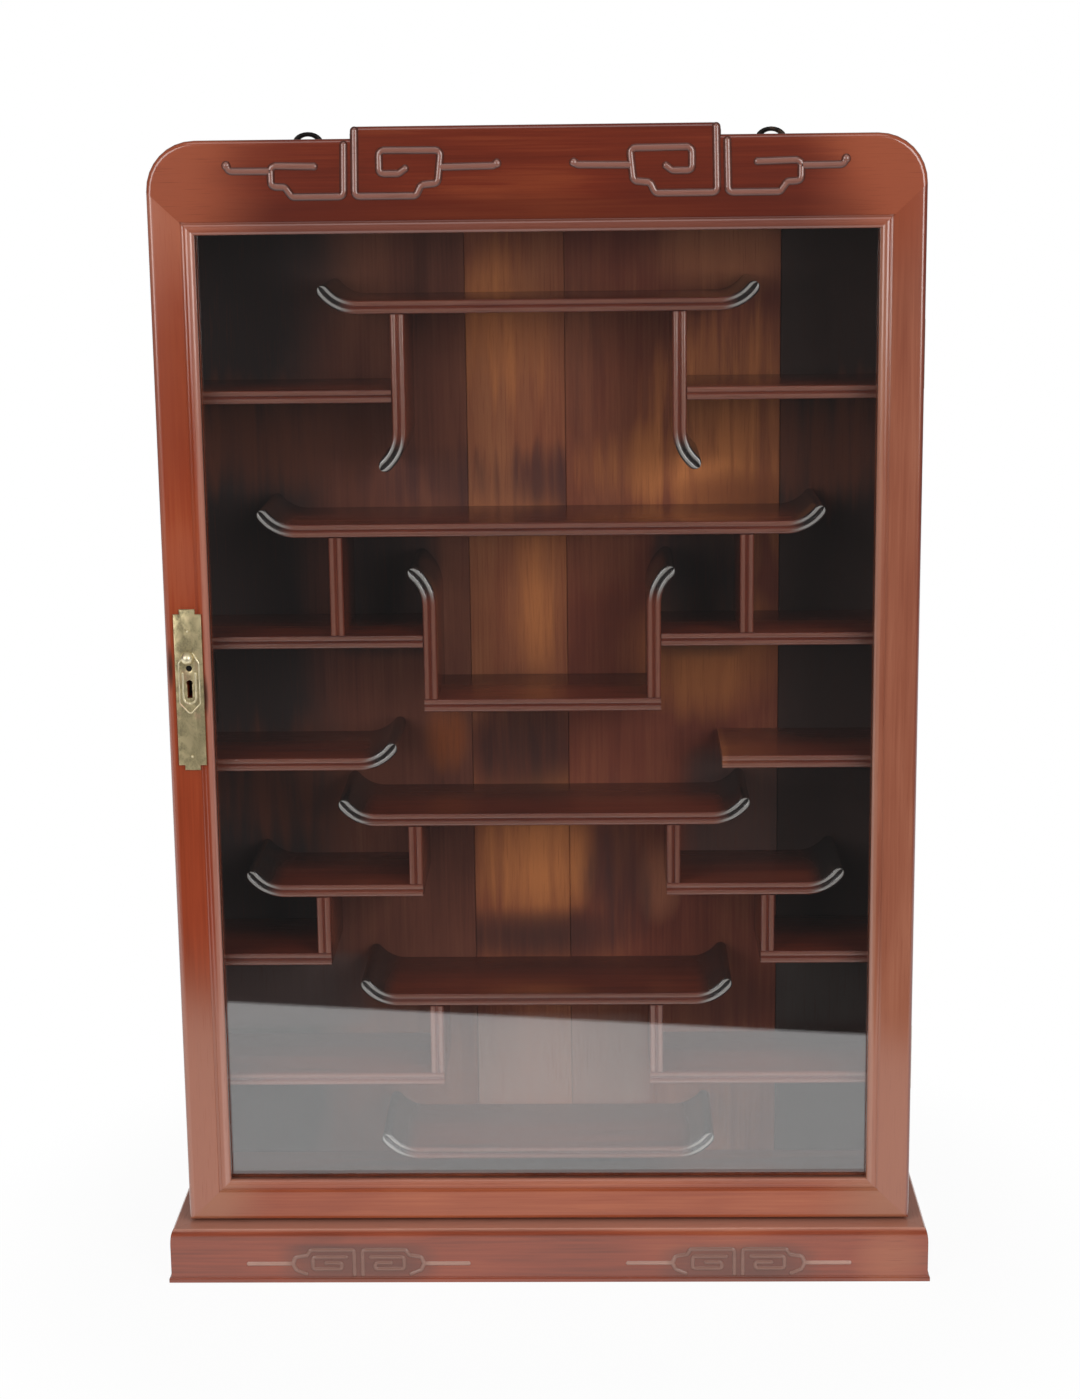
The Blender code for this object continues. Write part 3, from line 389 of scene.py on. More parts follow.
@dataclass(frozen=True)
class Wood:
    """Hardwood with broad patches, fine streaks and pores, under polish."""

    dark: Color
    mid: Color
    light: Color
    fades: tuple[Fade, ...] = ()
    stains_and_shade: tuple[StainAndShade, ...] = ()
    curl: Optional[Color] = None        # colour of ends that the mesh marks as curled
    curl_full: float = 0.5              # mark at which that colour is full
    curl_loss: float = 0.8              # part of the painted crown highlight that a curled end loses
    crown_highlight: Optional[Fade] = None         # painted highlight on the crowns of beads
    curl_glint: Optional[Fade] = None    # painted glint on the crowns of beads on curled ends
    marks_end: float = 1.0              # Y that fades and stained or shaded patches reach from the front
    marks_edge: float = 0.001           # depth over which they end
    patches: Layer = Layer(0.35, 14.0, 2.0, 0.4)
    figure: Layer = Layer(0.08, 90.0, 3.0, 0.5)
    streaks: Layer = Layer(0.02, 500.0, 3.0)
    pores: Layer = Layer(0.02, 1900.0, 1.0)
    patch_share: float = 0.5            # of patches in the tone; figure and streaks halve the rest
    tones: Triple = (0.36, 0.50, 0.64)  # noise at which the wood is dark, mid and light
    figure_drift: float = 1.5           # of the figure in the edges of stained and shaded patches, against 1 for patches
    pore_edge: Point = (0.58, 0.74)     # noise between which a pore opens
    pore_share: float = 0.35            # of the dark colour in a pore
    roughness: float = 0.42
    streak_roughness: float = 0.12
    pore_roughness: float = 0.08
    sheen: float = 0.1                  # mirror share of the bare wood
    coat: float = 1.0
    coat_roughness: float = 0.16
    coat_index: float = 1.75
    streak_height: float = 0.6          # of streaks in the relief, against 1 for pores
    relief_depth: float = 0.00004
    relief_strength: float = 0.5

    def material(self, name: str, grain: Grain, seed: int) -> bpy.types.Material:
        """Make the material of one board.

        Args:
            name: Name of the material.
            grain: Direction of the fibres.
            seed: Number of the board.

        Returns:
            The material.
        """
        material, graph = new_graph(name)
        patches = graph.layer(self.patches, grain, seed)
        figure = graph.layer(self.figure, grain, seed)
        streaks = graph.layer(self.streaks, grain, seed)
        pores = graph.step(graph.layer(self.pores, grain, seed), *self.pore_edge)
        tone = patches * self.patch_share + (figure + streaks) * ((1.0 - self.patch_share) / 2)
        color = graph.ramp(tone, tuple(zip(self.tones, (self.dark, self.mid, self.light))))
        front = graph.step(graph.axis(Axis.Y), self.marks_end, self.marks_end - self.marks_edge)
        for fade in self.fades:
            color = graph.fade(color, fade, patches, front)
        wander = (figure - NOISE_MEAN) * self.figure_drift + patches - NOISE_MEAN
        for stain_and_shade in self.stains_and_shade:
            color = graph.stain_and_shade(color, stain_and_shade, wander, front)
        color = self._curls_and_highlights(graph, color, patches)
        color = graph.mix(pores * self.pore_share, color, self.dark)
        rough = self.roughness + (streaks - NOISE_MEAN) * self.streak_roughness + pores * self.pore_roughness
        relief = graph.bump(streaks * self.streak_height - pores, self.relief_depth, self.relief_strength)
        graph.principled({
            "Base Color": color, "Roughness": rough, "Specular IOR Level": self.sheen, "Coat Weight": self.coat,
            "Coat Roughness": self.coat_roughness, "Coat IOR": self.coat_index, "Normal": relief})
        return material

    def _curls_and_highlights(self, graph: Graph, color: Signal, patches: Signal) -> Signal:
        """Colour curled ends, and paint highlights and glints on the crowns of beads.

        Args:
            graph: The material's graph.
            color: The colour before.
            patches: Noise that moves the edges.

        Returns:
            The colour after.
        """
        kept, turned = 1.0, 0.0
        if self.curl:
            mark = graph.node("ShaderNodeAttribute", {"attribute_name": CURL_MARK}, output="Fac")
            turned = graph.step(mark, 0.0, self.curl_full)
            color, kept = graph.mix(turned, color, self.curl), 1.0 - turned * self.curl_loss
        # painted highlight on bead crowns, and painted glints on those of curled ends
        if self.crown_highlight:
            color = graph.fade(color, self.crown_highlight, patches, kept)
        if self.curl_glint:
            color = graph.fade(color, self.curl_glint, patches, turned)
        return color


def back_wood(dark: Color, mid: Color, light: Color, *marks: Union[Fade, StainAndShade]) -> Wood:
    """Choose the finish of an unpolished back board.

    Args:
        dark: Its dark tone.
        mid: Its middle tone.
        light: Its light tone.
        marks: Fades, and patches of stained wood and of painted shade, on its front.

    Returns:
        The finish.
    """
    fades = tuple(mark for mark in marks if isinstance(mark, Fade))
    stains_and_shade = tuple(mark for mark in marks if isinstance(mark, StainAndShade))
    return Wood(dark, mid, light, fades, stains_and_shade, marks_end=0.0620, patches=Layer(0.5, 12.0, 2.0, 0.4),
                patch_share=0.6, roughness=0.5, coat=0.0)


@dataclass(frozen=True)
class Brass:
    """Old brass: worn bright on high spots, with a brown-green film elsewhere."""

    bright: Color = (0.66, 0.55, 0.32)
    dull: Color = (0.44, 0.37, 0.21)
    film: Color = (0.19, 0.16, 0.09)
    copper: Color = (0.62, 0.38, 0.26)  # where the brass has lost its zinc
    clouds: Layer = Layer(0.8, 130.0, 5.0, 0.6)
    specks: Layer = Layer(0.8, 900.0, 2.0, shift=7)
    scratches: Layer = Layer(0.05, 2600.0, 1.0)
    blush: Layer = Layer(0.6, 60.0, 3.0, 0.5, shift=3)
    dull_edge: Point = (0.35, 0.60)     # clouds between which the metal dulls
    film_edge: Point = (0.47, 0.68)     # clouds and specks between which the film thickens
    blush_edge: Point = (0.56, 0.70)    # noise between which copper shows
    speck_share: float = 0.3            # of specks among the clouds of the film
    film_share: float = 0.75
    blush_share: float = 0.8
    film_cover: float = 0.35            # part of the metal that the film hides
    roughness: float = 0.46
    film_roughness: float = 0.3
    scratch_roughness: float = 0.12
    scratch_height: float = 0.4         # of scratches among the specks of the relief
    relief_depth: float = 0.0001
    relief_strength: float = 0.5

    def material(self, name: str, grain: Grain, seed: int) -> bpy.types.Material:
        """Make the material of one fitting.

        Args:
            name: Name of the material.
            grain: Direction of the polishing marks.
            seed: Number of the fitting.

        Returns:
            The material.
        """
        material, graph = new_graph(name)
        clouds = graph.layer(self.clouds, grain, seed)
        specks = graph.layer(self.specks, grain, seed)
        scratches = graph.layer(self.scratches, grain, seed)
        film = graph.step(clouds * (1.0 - self.speck_share) + specks * self.speck_share, *self.film_edge)
        color = graph.mix(graph.step(clouds, *self.dull_edge), self.bright, self.dull)
        color = graph.mix(film * self.film_share, color, self.film)
        blush = graph.step(graph.layer(self.blush, grain, seed), *self.blush_edge)
        color = graph.mix(blush * self.blush_share, color, self.copper)
        height = specks * (1.0 - self.scratch_height) + scratches * self.scratch_height
        rough = self.roughness + film * self.film_roughness + (scratches - NOISE_MEAN) * self.scratch_roughness
        graph.principled({
            "Base Color": color, "Metallic": 1.0 - film * self.film_cover, "Roughness": rough,
            "Normal": graph.bump(height, self.relief_depth, self.relief_strength)})
        return material


@dataclass(frozen=True)
class Iron:
    """Dark forged iron with a little brown rust."""

    dark: Color = (0.020, 0.018, 0.017)
    rust: Color = (0.070, 0.036, 0.020)
    clouds: Layer = Layer(0.7, 160.0, 5.0)
    pits: Layer = Layer(1.0, 1100.0, 2.0)
    rust_edge: Point = (0.50, 0.68)     # clouds between which rust shows
    metal: float = 0.9
    rust_cover: float = 0.6             # part of the metal that rust hides
    roughness: float = 0.46
    rust_roughness: float = 0.3
    pit_depth: float = 0.0002
    pit_strength: float = 0.4

    def material(self, name: str, grain: Grain, seed: int) -> bpy.types.Material:
        """Make the material of one fitting.

        Args:
            name: Name of the material.
            grain: Direction of the forging marks.
            seed: Number of the fitting.

        Returns:
            The material.
        """
        material, graph = new_graph(name)
        rust = graph.step(graph.layer(self.clouds, grain, seed), *self.rust_edge)
        pits = graph.layer(self.pits, grain, seed)
        graph.principled({
            "Base Color": graph.mix(rust, self.dark, self.rust), "Metallic": self.metal - rust * self.rust_cover,
            "Roughness": self.roughness + rust * self.rust_roughness,
            "Normal": graph.bump(pits, self.pit_depth, self.pit_strength)})
        return material


@dataclass(frozen=True)
class Glass:
    """A clear old pane: what is behind it shows through, and it mirrors what is in front."""

    tint: Color = (0.985, 0.99, 0.988)
    mirror_share: float = 0.118         # of light that meets one face square on
    glance_power: float = 5.0           # how late the mirror grows towards a glancing view
    facing_blend: float = 0.5           # leaves the facing linear
    roughness: float = 0.02
    ripples: float = 9.0                # in a metre
    ripple_detail: float = 1.0
    ripple_depth: float = 0.00004
    ripple_strength: float = 0.4

    def material(self, name: str) -> bpy.types.Material:
        """Make the pane's material.

        Args:
            name: Name of the material.

        Returns:
            The material.
        """
        material, graph = new_graph(name)
        waves = graph.noise(graph.place(), self.ripples, self.ripple_detail)
        clear = graph.node("ShaderNodeBsdfTransparent", sockets={"Color": (*self.tint, 1.0)})
        gloss = graph.node("ShaderNodeBsdfAnisotropic", sockets={
            "Color": WHITE, "Roughness": self.roughness,
            "Normal": graph.bump(waves, self.ripple_depth, self.ripple_strength)})
        facing = graph.node("ShaderNodeLayerWeight", sockets={"Blend": self.facing_blend}, output="Facing")
        share = self.mirror_share + facing ** self.glance_power * (1.0 - self.mirror_share)
        graph.surface(graph.node("ShaderNodeMixShader", sockets={0: share, 1: clear, 2: gloss}))
        return material


PALE_FOOT = Fade(Axis.Z, 0.270, 0.150, (0.335, 0.108, 0.054), 0.9)
SHADE: Color = (0.039, 0.030, 0.030)
GOLD: Color = (0.710, 0.250, 0.084)
PURPLE: Color = (0.105, 0.042, 0.038)
BROWN: Color = (0.190, 0.060, 0.034)
# painted shadow on the back boards: bands along the shelves and a patch in a low cell
PAINTED_SHADOW: Color = (0.085, 0.034, 0.029)
ASH: Color = (0.420, 0.260, 0.210)
# painted shadow beside the lock plate
PLATE_SHADOW: Color = (0.020, 0.009, 0.006)
# painted highlight on the beads and rounded edges of the door frame
BEAD_HIGHLIGHT: Color = (0.470, 0.235, 0.180)
LEFT_STILE = Wood(
    (0.220, 0.031, 0.008), (0.310, 0.048, 0.014), (0.390, 0.085, 0.027),
    fades=(PALE_FOOT,
           # painted shade on the upper stile, toning down the lamp's sheen there
           Fade(Axis.Z, 0.540, 0.620, (0.235, 0.034, 0.009), 0.7),
           Fade(Axis.Z, 0.690, 0.750, (0.400, 0.115, 0.058), 0.9),
           # painted highlights on the inner bead and on the rounded outer edge
           Fade(Axis.X, 0.2338, 0.2322, BEAD_HIGHLIGHT, 0.55, 0.0),
           Fade(Axis.X, 0.2553, 0.2566, BEAD_HIGHLIGHT, 0.25, 0.0)),
    stains_and_shade=(StainAndShade((-0.2460, 0.5250), (0.014, 0.030), (0.360, 0.085, 0.040), 0.7, 0.8),
            # painted shadow along both sides of the lock plate
            StainAndShade((-0.2570, 0.4516), (0.0022, 0.016), PLATE_SHADOW, 1.0, 0.8),
            StainAndShade((-0.2333, 0.4323), (0.0020, 0.015), PLATE_SHADOW, 1.0, 0.8)))
RIGHT_STILE = Wood(
    (0.215, 0.056, 0.030), (0.290, 0.089, 0.048), (0.365, 0.130, 0.074),
    fades=(PALE_FOOT,
           Fade(Axis.Z, 0.690, 0.760, (0.285, 0.060, 0.024), 0.9),
           # painted highlight on the inner bead, and painted shade on the rounded outer edge
           Fade(Axis.X, 0.2336, 0.2320, (0.420, 0.200, 0.135), 0.5, 0.0),
           Fade(Axis.X, 0.2570, 0.2590, (0.150, 0.016, 0.008), 0.7, 0.0)))
TOP_RAIL = Wood(
    (0.100, 0.012, 0.004), (0.155, 0.020, 0.006), (0.240, 0.046, 0.013),
    fades=(Fade(Axis.Z, 0.778, 0.764, (0.085, 0.010, 0.003), 0.6, 0.01),
           Fade(Axis.X, 0.165, 0.235, (0.340, 0.078, 0.032), 0.9),
           # painted highlight on the inner bead
           Fade(Axis.Z, 0.7550, 0.7530, BEAD_HIGHLIGHT, 0.18, 0.0)))
BOTTOM_RAIL = Wood(
    (0.210, 0.038, 0.014), (0.310, 0.065, 0.023), (0.400, 0.104, 0.040),
    fades=(Fade(Axis.X, 0.190, 0.245, (0.340, 0.125, 0.064), 0.9),
           # painted highlight on the bead
           Fade(Axis.Z, 0.0680, 0.0705, BEAD_HIGHLIGHT, 0.35, 0.0)),
    coat=0.7)
BASE_WOOD = Wood(
    (0.150, 0.030, 0.013), (0.265, 0.052, 0.021), (0.340, 0.080, 0.032),
    # painted highlight on the top edge of the base
    fades=(Fade(Axis.Z, 0.0372, 0.0402, (0.540, 0.260, 0.185), 0.8, 0.002),),
    stains_and_shade=(*both_sides(StainAndShade((-0.137, 0.0140), (0.056, 0.015), (0.085, 0.030, 0.020), 0.85, 0.6, 2.0)),
            StainAndShade((0.246, 0.0180), (0.026, 0.022), (0.400, 0.125, 0.056), 0.7, 0.8)),
    coat=0.85)
CASE_WOOD = Wood((0.100, 0.020, 0.009), (0.200, 0.040, 0.017), (0.300, 0.075, 0.034))
# Crest beads: dark tones are painted shade along their feet; the crown fade is a painted highlight.
CREST_BEAD = Wood(
    (0.062, 0.016, 0.010), (0.090, 0.024, 0.015), (0.130, 0.040, 0.026),
    crown_highlight=Fade(Axis.Y, -0.0551, -0.0560, (0.300, 0.130, 0.098), 0.8, 0.0), roughness=0.36, coat=0.8)
# Base scroll beads: pale all over as a painted highlight on the raised lines; the patch leaves less of it on the
# scroll bodies.
BASE_BEAD = Wood(
    (0.330, 0.180, 0.140), (0.410, 0.235, 0.185), (0.480, 0.285, 0.230),
    stains_and_shade=both_sides(StainAndShade((-0.137, 0.0140), (0.051, 0.024), (0.190, 0.090, 0.068), 0.95, 0.2, 6.0)),
    roughness=0.4, coat=0.5)
SHELF_WOOD = Wood(
    (0.105, 0.019, 0.009), (0.185, 0.033, 0.015), (0.260, 0.060, 0.029),
    # painted shade: each strip darker towards the back of the case
    fades=(Fade(Axis.Y, -0.005, 0.040, (0.085, 0.020, 0.012), 0.85, 0.02),),
    curl=(0.022, 0.017, 0.016),
    # painted highlight on bead crowns, and brighter painted glints on those of the curled ends
    crown_highlight=Fade(Axis.Y, -0.0287, -0.0292, (0.350, 0.165, 0.120), 0.5, 0.0),
    curl_glint=Fade(Axis.Y, -0.0290, -0.0292, (0.560, 0.540, 0.520), 0.7, 0.0),
    coat_index=1.85)
SHELF_WOODS = {                         # shelves that differ from the rest
    "bracket_shelf_right": replace(SHELF_WOOD, stains_and_shade=(
        StainAndShade((0.1258, 0.3770), (0.005, 0.020), (0.480, 0.165, 0.066), 0.9, 0.6),
        StainAndShade((0.1420, 0.3770), (0.040, 0.020), (0.300, 0.085, 0.040), 0.6, 1.0))),
}
PLAIN_WOOD = Wood(
    (0.120, 0.055, 0.028), (0.220, 0.110, 0.055), (0.310, 0.170, 0.090), roughness=0.62, coat=0.0)
BACK_WOODS = {
    "back_board_1": back_wood(
        (0.115, 0.038, 0.026), (0.190, 0.062, 0.040), (0.260, 0.092, 0.054),
        Fade(Axis.X, 0.140, 0.185, SHADE, 0.94),
        StainAndShade((-0.200, 0.597), (0.080, 0.040), BROWN),
        StainAndShade((-0.190, 0.335), (0.070, 0.050), BROWN, 0.8),
        StainAndShade((-0.200, 0.180), (0.070, 0.030), (0.150, 0.100, 0.093), 0.9, 0.4, 3.0),
        StainAndShade((-0.073, 0.376), (0.017, 0.026), (0.420, 0.110, 0.030), 0.8, 1.2),
        StainAndShade((-0.115, 0.490), (0.040, 0.054), SHADE, 1.0, 0.4, 3.0),
        # painted shadow on the back board just above the long shelf
        StainAndShade((-0.060, 0.566), (0.060, 0.026), PURPLE)),
    "back_board_2": back_wood(
        (0.185, 0.044, 0.025), (0.315, 0.094, 0.047), (0.430, 0.155, 0.071),
        StainAndShade((-0.028, 0.672), (0.036, 0.055), GOLD),
        StainAndShade((-0.003, 0.487), (0.022, 0.075), GOLD),
        StainAndShade((-0.008, 0.290), (0.046, 0.056), GOLD, 1.0),
        # painted shadow bands along the lower shelves
        StainAndShade((-0.010, 0.222), (0.090, 0.020), PAINTED_SHADOW, 1.0, 0.6),
        StainAndShade((-0.028, 0.122), (0.060, 0.038), ASH, 0.8, 0.5, 3.0),
        StainAndShade((0.000, 0.072), (0.090, 0.014), PAINTED_SHADOW, 0.9, 0.4, 2.0),
        # painted shadow on the back board just above the long shelf
        StainAndShade((-0.010, 0.564), (0.090, 0.026), PURPLE),
        StainAndShade((-0.018, 0.370), (0.044, 0.054), (0.064, 0.027, 0.025), 1.0, 1.2)),
    "back_board_3": back_wood(
        (0.145, 0.035, 0.023), (0.230, 0.060, 0.035), (0.330, 0.107, 0.054),
        StainAndShade((0.137, 0.598), (0.060, 0.080), GOLD, 1.0),
        StainAndShade((0.080, 0.575), (0.052, 0.030), GOLD),
        StainAndShade((0.120, 0.438), (0.056, 0.046), GOLD, 0.8, 1.0),
        StainAndShade((0.130, 0.727), (0.052, 0.030), (0.460, 0.165, 0.077), 0.9, 1.0),
        StainAndShade((0.140, 0.553), (0.045, 0.018), (0.260, 0.075, 0.030), 0.9, 0.8),
        # painted shade in the cell below the right bracket shelf
        StainAndShade((0.150, 0.312), (0.050, 0.055), (0.080, 0.058, 0.054), 0.9, 0.4, 3.0),
        StainAndShade((0.020, 0.282), (0.017, 0.040), GOLD, 1.0, 1.0),
        StainAndShade((0.083, 0.266), (0.017, 0.030), (0.420, 0.150, 0.080), 0.9, 1.0),
        # painted shadow bands along the lower shelves, and in the low cell at the right
        StainAndShade((0.020, 0.222), (0.040, 0.020), PAINTED_SHADOW, 0.9, 0.6),
        StainAndShade((0.035, 0.122), (0.042, 0.038), ASH, 0.8, 0.5, 3.0),
        StainAndShade((0.000, 0.072), (0.090, 0.014), PAINTED_SHADOW, 0.9, 0.4, 2.0),
        StainAndShade((0.130, 0.165), (0.050, 0.025), PAINTED_SHADOW, 0.6, 0.8),
        StainAndShade((0.025, 0.658), (0.018, 0.070), PURPLE, 0.4),
        StainAndShade((0.050, 0.272), (0.022, 0.060), PURPLE),
        StainAndShade((0.115, 0.490), (0.037, 0.054), SHADE, 1.0, 0.4, 3.0)),
    "back_board_4": back_wood(
        (0.070, 0.022, 0.015), (0.120, 0.038, 0.022), (0.180, 0.065, 0.035),
        Fade(Axis.X, 0.105, 0.180, (0.050, 0.032, 0.029), 0.94),
        StainAndShade((0.205, 0.592), (0.080, 0.044), BROWN),
        StainAndShade((0.205, 0.180), (0.040, 0.030), (0.085, 0.071, 0.066), 0.9, 0.4, 3.0)),
}
BRASS = Brass()
RUBBED_BRASS = Brass((0.980, 0.890, 0.640), (0.860, 0.760, 0.510), (0.420, 0.360, 0.220), roughness=0.40)
IRON = Iron()
GLASS = Glass()
Finish = Union[Wood, Brass, Iron]


def arc(center: Point, radius: float, start: float, stop: float, steps: int) -> list[Point]:
    """Points of an arc in a plane, both ends included, with angles in radians."""
    angles = (start + (stop - start) * i / steps for i in range(steps + 1))
    return [(center[0] + radius * math.cos(a), center[1] + radius * math.sin(a)) for a in angles]


def put_in_scene(name: str, data: bpy.types.ID) -> bpy.types.Object:
    """Make an object and link it to the scene.

    Args:
        name: Name of the object.
        data: Its mesh, camera or light.

    Returns:
        The object.
    """
    placed = bpy.data.objects.new(name, data)
    bpy.context.scene.collection.objects.link(placed)
    return placed


def add_piece(name: str, bm: bmesh.types.BMesh, body: Body,
              material: bpy.types.Material, replaced: Sequence[str] = ()) -> bpy.types.Object:
    """Turn a mesh into a finished piece that rides on a body.

    Args:
        name: Name of the piece.
        bm: The mesh, in the cabinet's own frame; it is freed.
        body: Group that the piece moves with.
        material: Its finish.
        replaced: Nodes of the model that the piece stands for.

    Returns:
        The new object.
    """
    bmesh.ops.remove_doubles(bm, verts=bm.verts, dist=SAME)
    bmesh.ops.recalc_face_normals(bm, faces=bm.faces)
    mesh = bpy.data.meshes.new(name)
    bm.to_mesh(mesh)
    bm.free()
    mesh.materials.append(material)
    mesh.shade_smooth()
    mesh.set_sharp_from_angle(angle=SHARP)
    piece = put_in_scene(name, mesh)
    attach(piece, body.value)
    if replaced:
        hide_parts(*replaced)
    LOG.info("%s: %d faces on %s", name, len(mesh.polygons), body.value)
    return piece


class Sweep:
    """A section that is pushed along a line in X and Z, one stretch at a time."""

    TIP_ANGLE = math.radians(84)        # short of a quarter turn, so that a rounded end keeps a face

    def __init__(self, bm: bmesh.types.BMesh, cap: bmesh.types.BMFace, at: Vector, heading: Vector) -> None:
        """Start at a section face.

        Args:
            bm: The mesh.
            cap: The section's face.
            at: The line's place at the section, with Y set to 0.
            heading: Direction of travel in X and Z.
        """
        self.bm, self.cap, self.at, self.heading = bm, cap, at.copy(), heading.normalized()

    @property
    def left(self) -> Vector:
        """Direction to the left of travel, seen from the front."""
        return Vector((-self.heading.z, 0.0, self.heading.x))

    def _grow(self) -> list[bmesh.types.BMVert]:
        """Extrude the cap where it stands.

        Returns:
            The corners of the new cap.
        """
        grown = bmesh.ops.extrude_face_region(self.bm, geom=[self.cap])["geom"]
        self.cap = next(g for g in grown if isinstance(g, bmesh.types.BMFace))
        return list(self.cap.verts)

    def forward(self, length: float) -> None:
        """Push the section straight on."""
        bmesh.ops.translate(self.bm, verts=self._grow(), vec=self.heading * length)
        self.at += self.heading * length

    def turn(self, radius: float, angle: float, steps: int) -> None:
        """Swing the section round a bend.

        Args:
            radius: Radius of the bend along the line.
            angle: Angle of the bend, positive to the left.
            steps: Stretches that it is made of.
        """
        center = self.at + self.left * math.copysign(radius, angle)
        swung = bmesh.ops.spin(self.bm, geom=[self.cap], cent=center, axis=Y_AXIS, angle=-angle,
                               steps=steps, use_merge=False)["geom_last"]
        self.cap = next(g for g in swung if isinstance(g, bmesh.types.BMFace))
        spin = Matrix.Rotation(-angle, 3, Y_AXIS)
        self.at = center + spin @ (self.at - center)
        self.heading = spin @ self.heading

    def round_off(self, half: float, steps: int) -> None:
        """Close the end as a half round by drawing its two faces together.

        Args:
            half: Half the thickness of the strip.
            steps: Stretches that the round is made of.
        """
        root, narrow = self.at.copy(), 1.0
        for i in range(1, steps + 1):
            angle = self.TIP_ANGLE * i / steps
            target = math.cos(angle)
            squeeze = (Matrix.Translation(root + self.heading * half * math.sin(angle))
                       @ Matrix.Scale(target / narrow, 4, self.left) @ Matrix.Translation(-self.at))
            bmesh.ops.transform(self.bm, matrix=squeeze, verts=self._grow())
            self.at, narrow = root + self.heading * half * math.sin(angle), target


@dataclass(frozen=True)
class Curl:
    """An end that turns out of the line of its strip."""

    radius: float
    sweep: float
    side: int = 1                       # 1 to the left of the strip's heading, -1 to the right

    @property
    def reach(self) -> float:
        """How far its middle line runs on past the straight part."""
        return self.radius * math.sin(self.sweep)


@dataclass
class Shelves:
    """The stepped shelves and dividers, with two round beads along every front edge."""

    shelf_thickness: float = 0.0090
    divider_thickness: float = 0.0096
    groove_width: float = 0.0010
    groove_depth: float = 0.0015
    bead_steps: int = 10
    shelf_curl: Curl = Curl(0.029, math.radians(51))
    divider_curl: Curl = Curl(0.030, math.radians(48.5))
    curl_steps: int = 14
    tip_steps: int = 5
    curled: tuple[str, ...] = ("upper_shelf_centre", "long_shelf", "middle_shelf_centre",
                               "lower_shelf_centre", "bottom_shelf_centre")
    flat: tuple[str, ...] = ("upper_shelf", "long_side_shelf", "step_shelf", "lower_shelf")
    straight: tuple[str, ...] = ("long_divider", "middle_divider", "step_divider", "lower_divider")
    seed: int = field(default=Seed.SHELVES, init=False)

    def section(self, bm: bmesh.types.BMesh, at: Vector, left: Vector, thickness: float,
                front: float, back: float) -> bmesh.types.BMFace:
        """Draw the section of a strip: two beads and a groove in front, square behind.

        Args:
            bm: The mesh that it goes into.
            at: Middle of the section, with Y set to 0.
            left: Direction across the strip.
            thickness: Thickness of the strip.
            front: Y of the front of the beads.
            back: Y of the rear edge.

        Returns:
            The section's face.
        """
        half, bead_half = thickness / 2, (thickness - self.groove_width) / 4
        bead = [(half + bead_half * (a - 1), self.groove_depth * (1 - b))
                for a, b in arc((0.0, 0.0), 1.0, 0.0, math.pi, self.bead_steps)]
        rim = bead + [(-a, y) for a, y in reversed(bead)]
        rim += [(-half, back - front), (half, back - front)]
        corners = [bm.verts.new(at + left * a + Y_AXIS * (front + y)) for a, y in rim]
        return bm.faces.new(corners)

    def strip(self, node: str, start: Vector, heading: Vector, length: float, thickness: float,
              curls: Sequence[Optional[Curl]]) -> None:
        """Build one strip and dress it.

        Args:
            node: Node of the model that it stands for.
            start: Where its straight part starts.
            heading: Direction of the straight part.
            length: Length of the straight part.
            thickness: Thickness.
            curls: The curl of its start and that of its end, or None where an end is square.
        """
        low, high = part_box(node)
        bm = bmesh.new()
        left = Vector((-heading.z, 0.0, heading.x))
        face = self.section(bm, start, left, thickness, low.y, high.y)
        ahead = Sweep(bm, face, start, heading)
        ahead.forward(length)
        behind = Sweep(bm, face, start, -heading)
        for sweep, curl, sign in ((behind, curls[0], -1), (ahead, curls[1], 1)):
            if curl:
                sweep.turn(curl.radius, sign * curl.side * curl.sweep, self.curl_steps)
                sweep.round_off(thickness / 2, self.tip_steps)
        mark = bm.verts.layers.float.new(CURL_MARK)
        for vert in bm.verts:
            along = (vert.co - start).dot(heading)
            vert[mark] = max(-along, along - length, 0.0) / self.shelf_curl.radius
        grain = Grain.ACROSS if abs(heading.x) > abs(heading.z) else Grain.UPRIGHT
        wood = SHELF_WOODS.get(node, SHELF_WOOD)
        material = wood.material("polished_" + node, grain, self.seed)
        self.seed += 1
        add_piece("beaded_" + node, bm, Body.CASE, material, [node])

    def shelf(self, node: str, left_curl: bool, right_curl: bool) -> None:
        """Build a level strip.

        Args:
            node: Its node.
            left_curl: Whether its left end is turned up.
            right_curl: Whether its right end is turned up.
        """
        low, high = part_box(node)
        curl = self.shelf_curl
        reach = curl.reach + self.shelf_thickness / 2
        x_from = low.x + (reach if left_curl else 0.0)
        x_to = high.x - (reach if right_curl else 0.0)
        start = Vector((x_from, 0.0, low.z + self.shelf_thickness / 2))
        self.strip(node, start, X_AXIS, x_to - x_from, self.shelf_thickness,
                   (curl if left_curl else None, curl if right_curl else None))

    def divider(self, node: str, side: int, curl_at: int) -> None:
        """Build an upright strip.

        Args:
            node: Its node.
            side: -1 left of the middle and 1 right of it.
            curl_at: -1 with a foot that curls outwards, 1 with a head that does, else 0.
        """
        low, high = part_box(node)
        half = self.divider_thickness / 2
        reach = self.divider_curl.reach + half
        x = low.x + half if side > 0 else high.x - half
        z_from = low.z + (reach if curl_at < 0 else 0.0)
        z_to = high.z - (reach if curl_at > 0 else 0.0)
        curl = replace(self.divider_curl, side=-side)
        self.strip(node, Vector((x, 0.0, z_from)), Z_AXIS, z_to - z_from, self.divider_thickness,
                   (curl if curl_at < 0 else None, curl if curl_at > 0 else None))

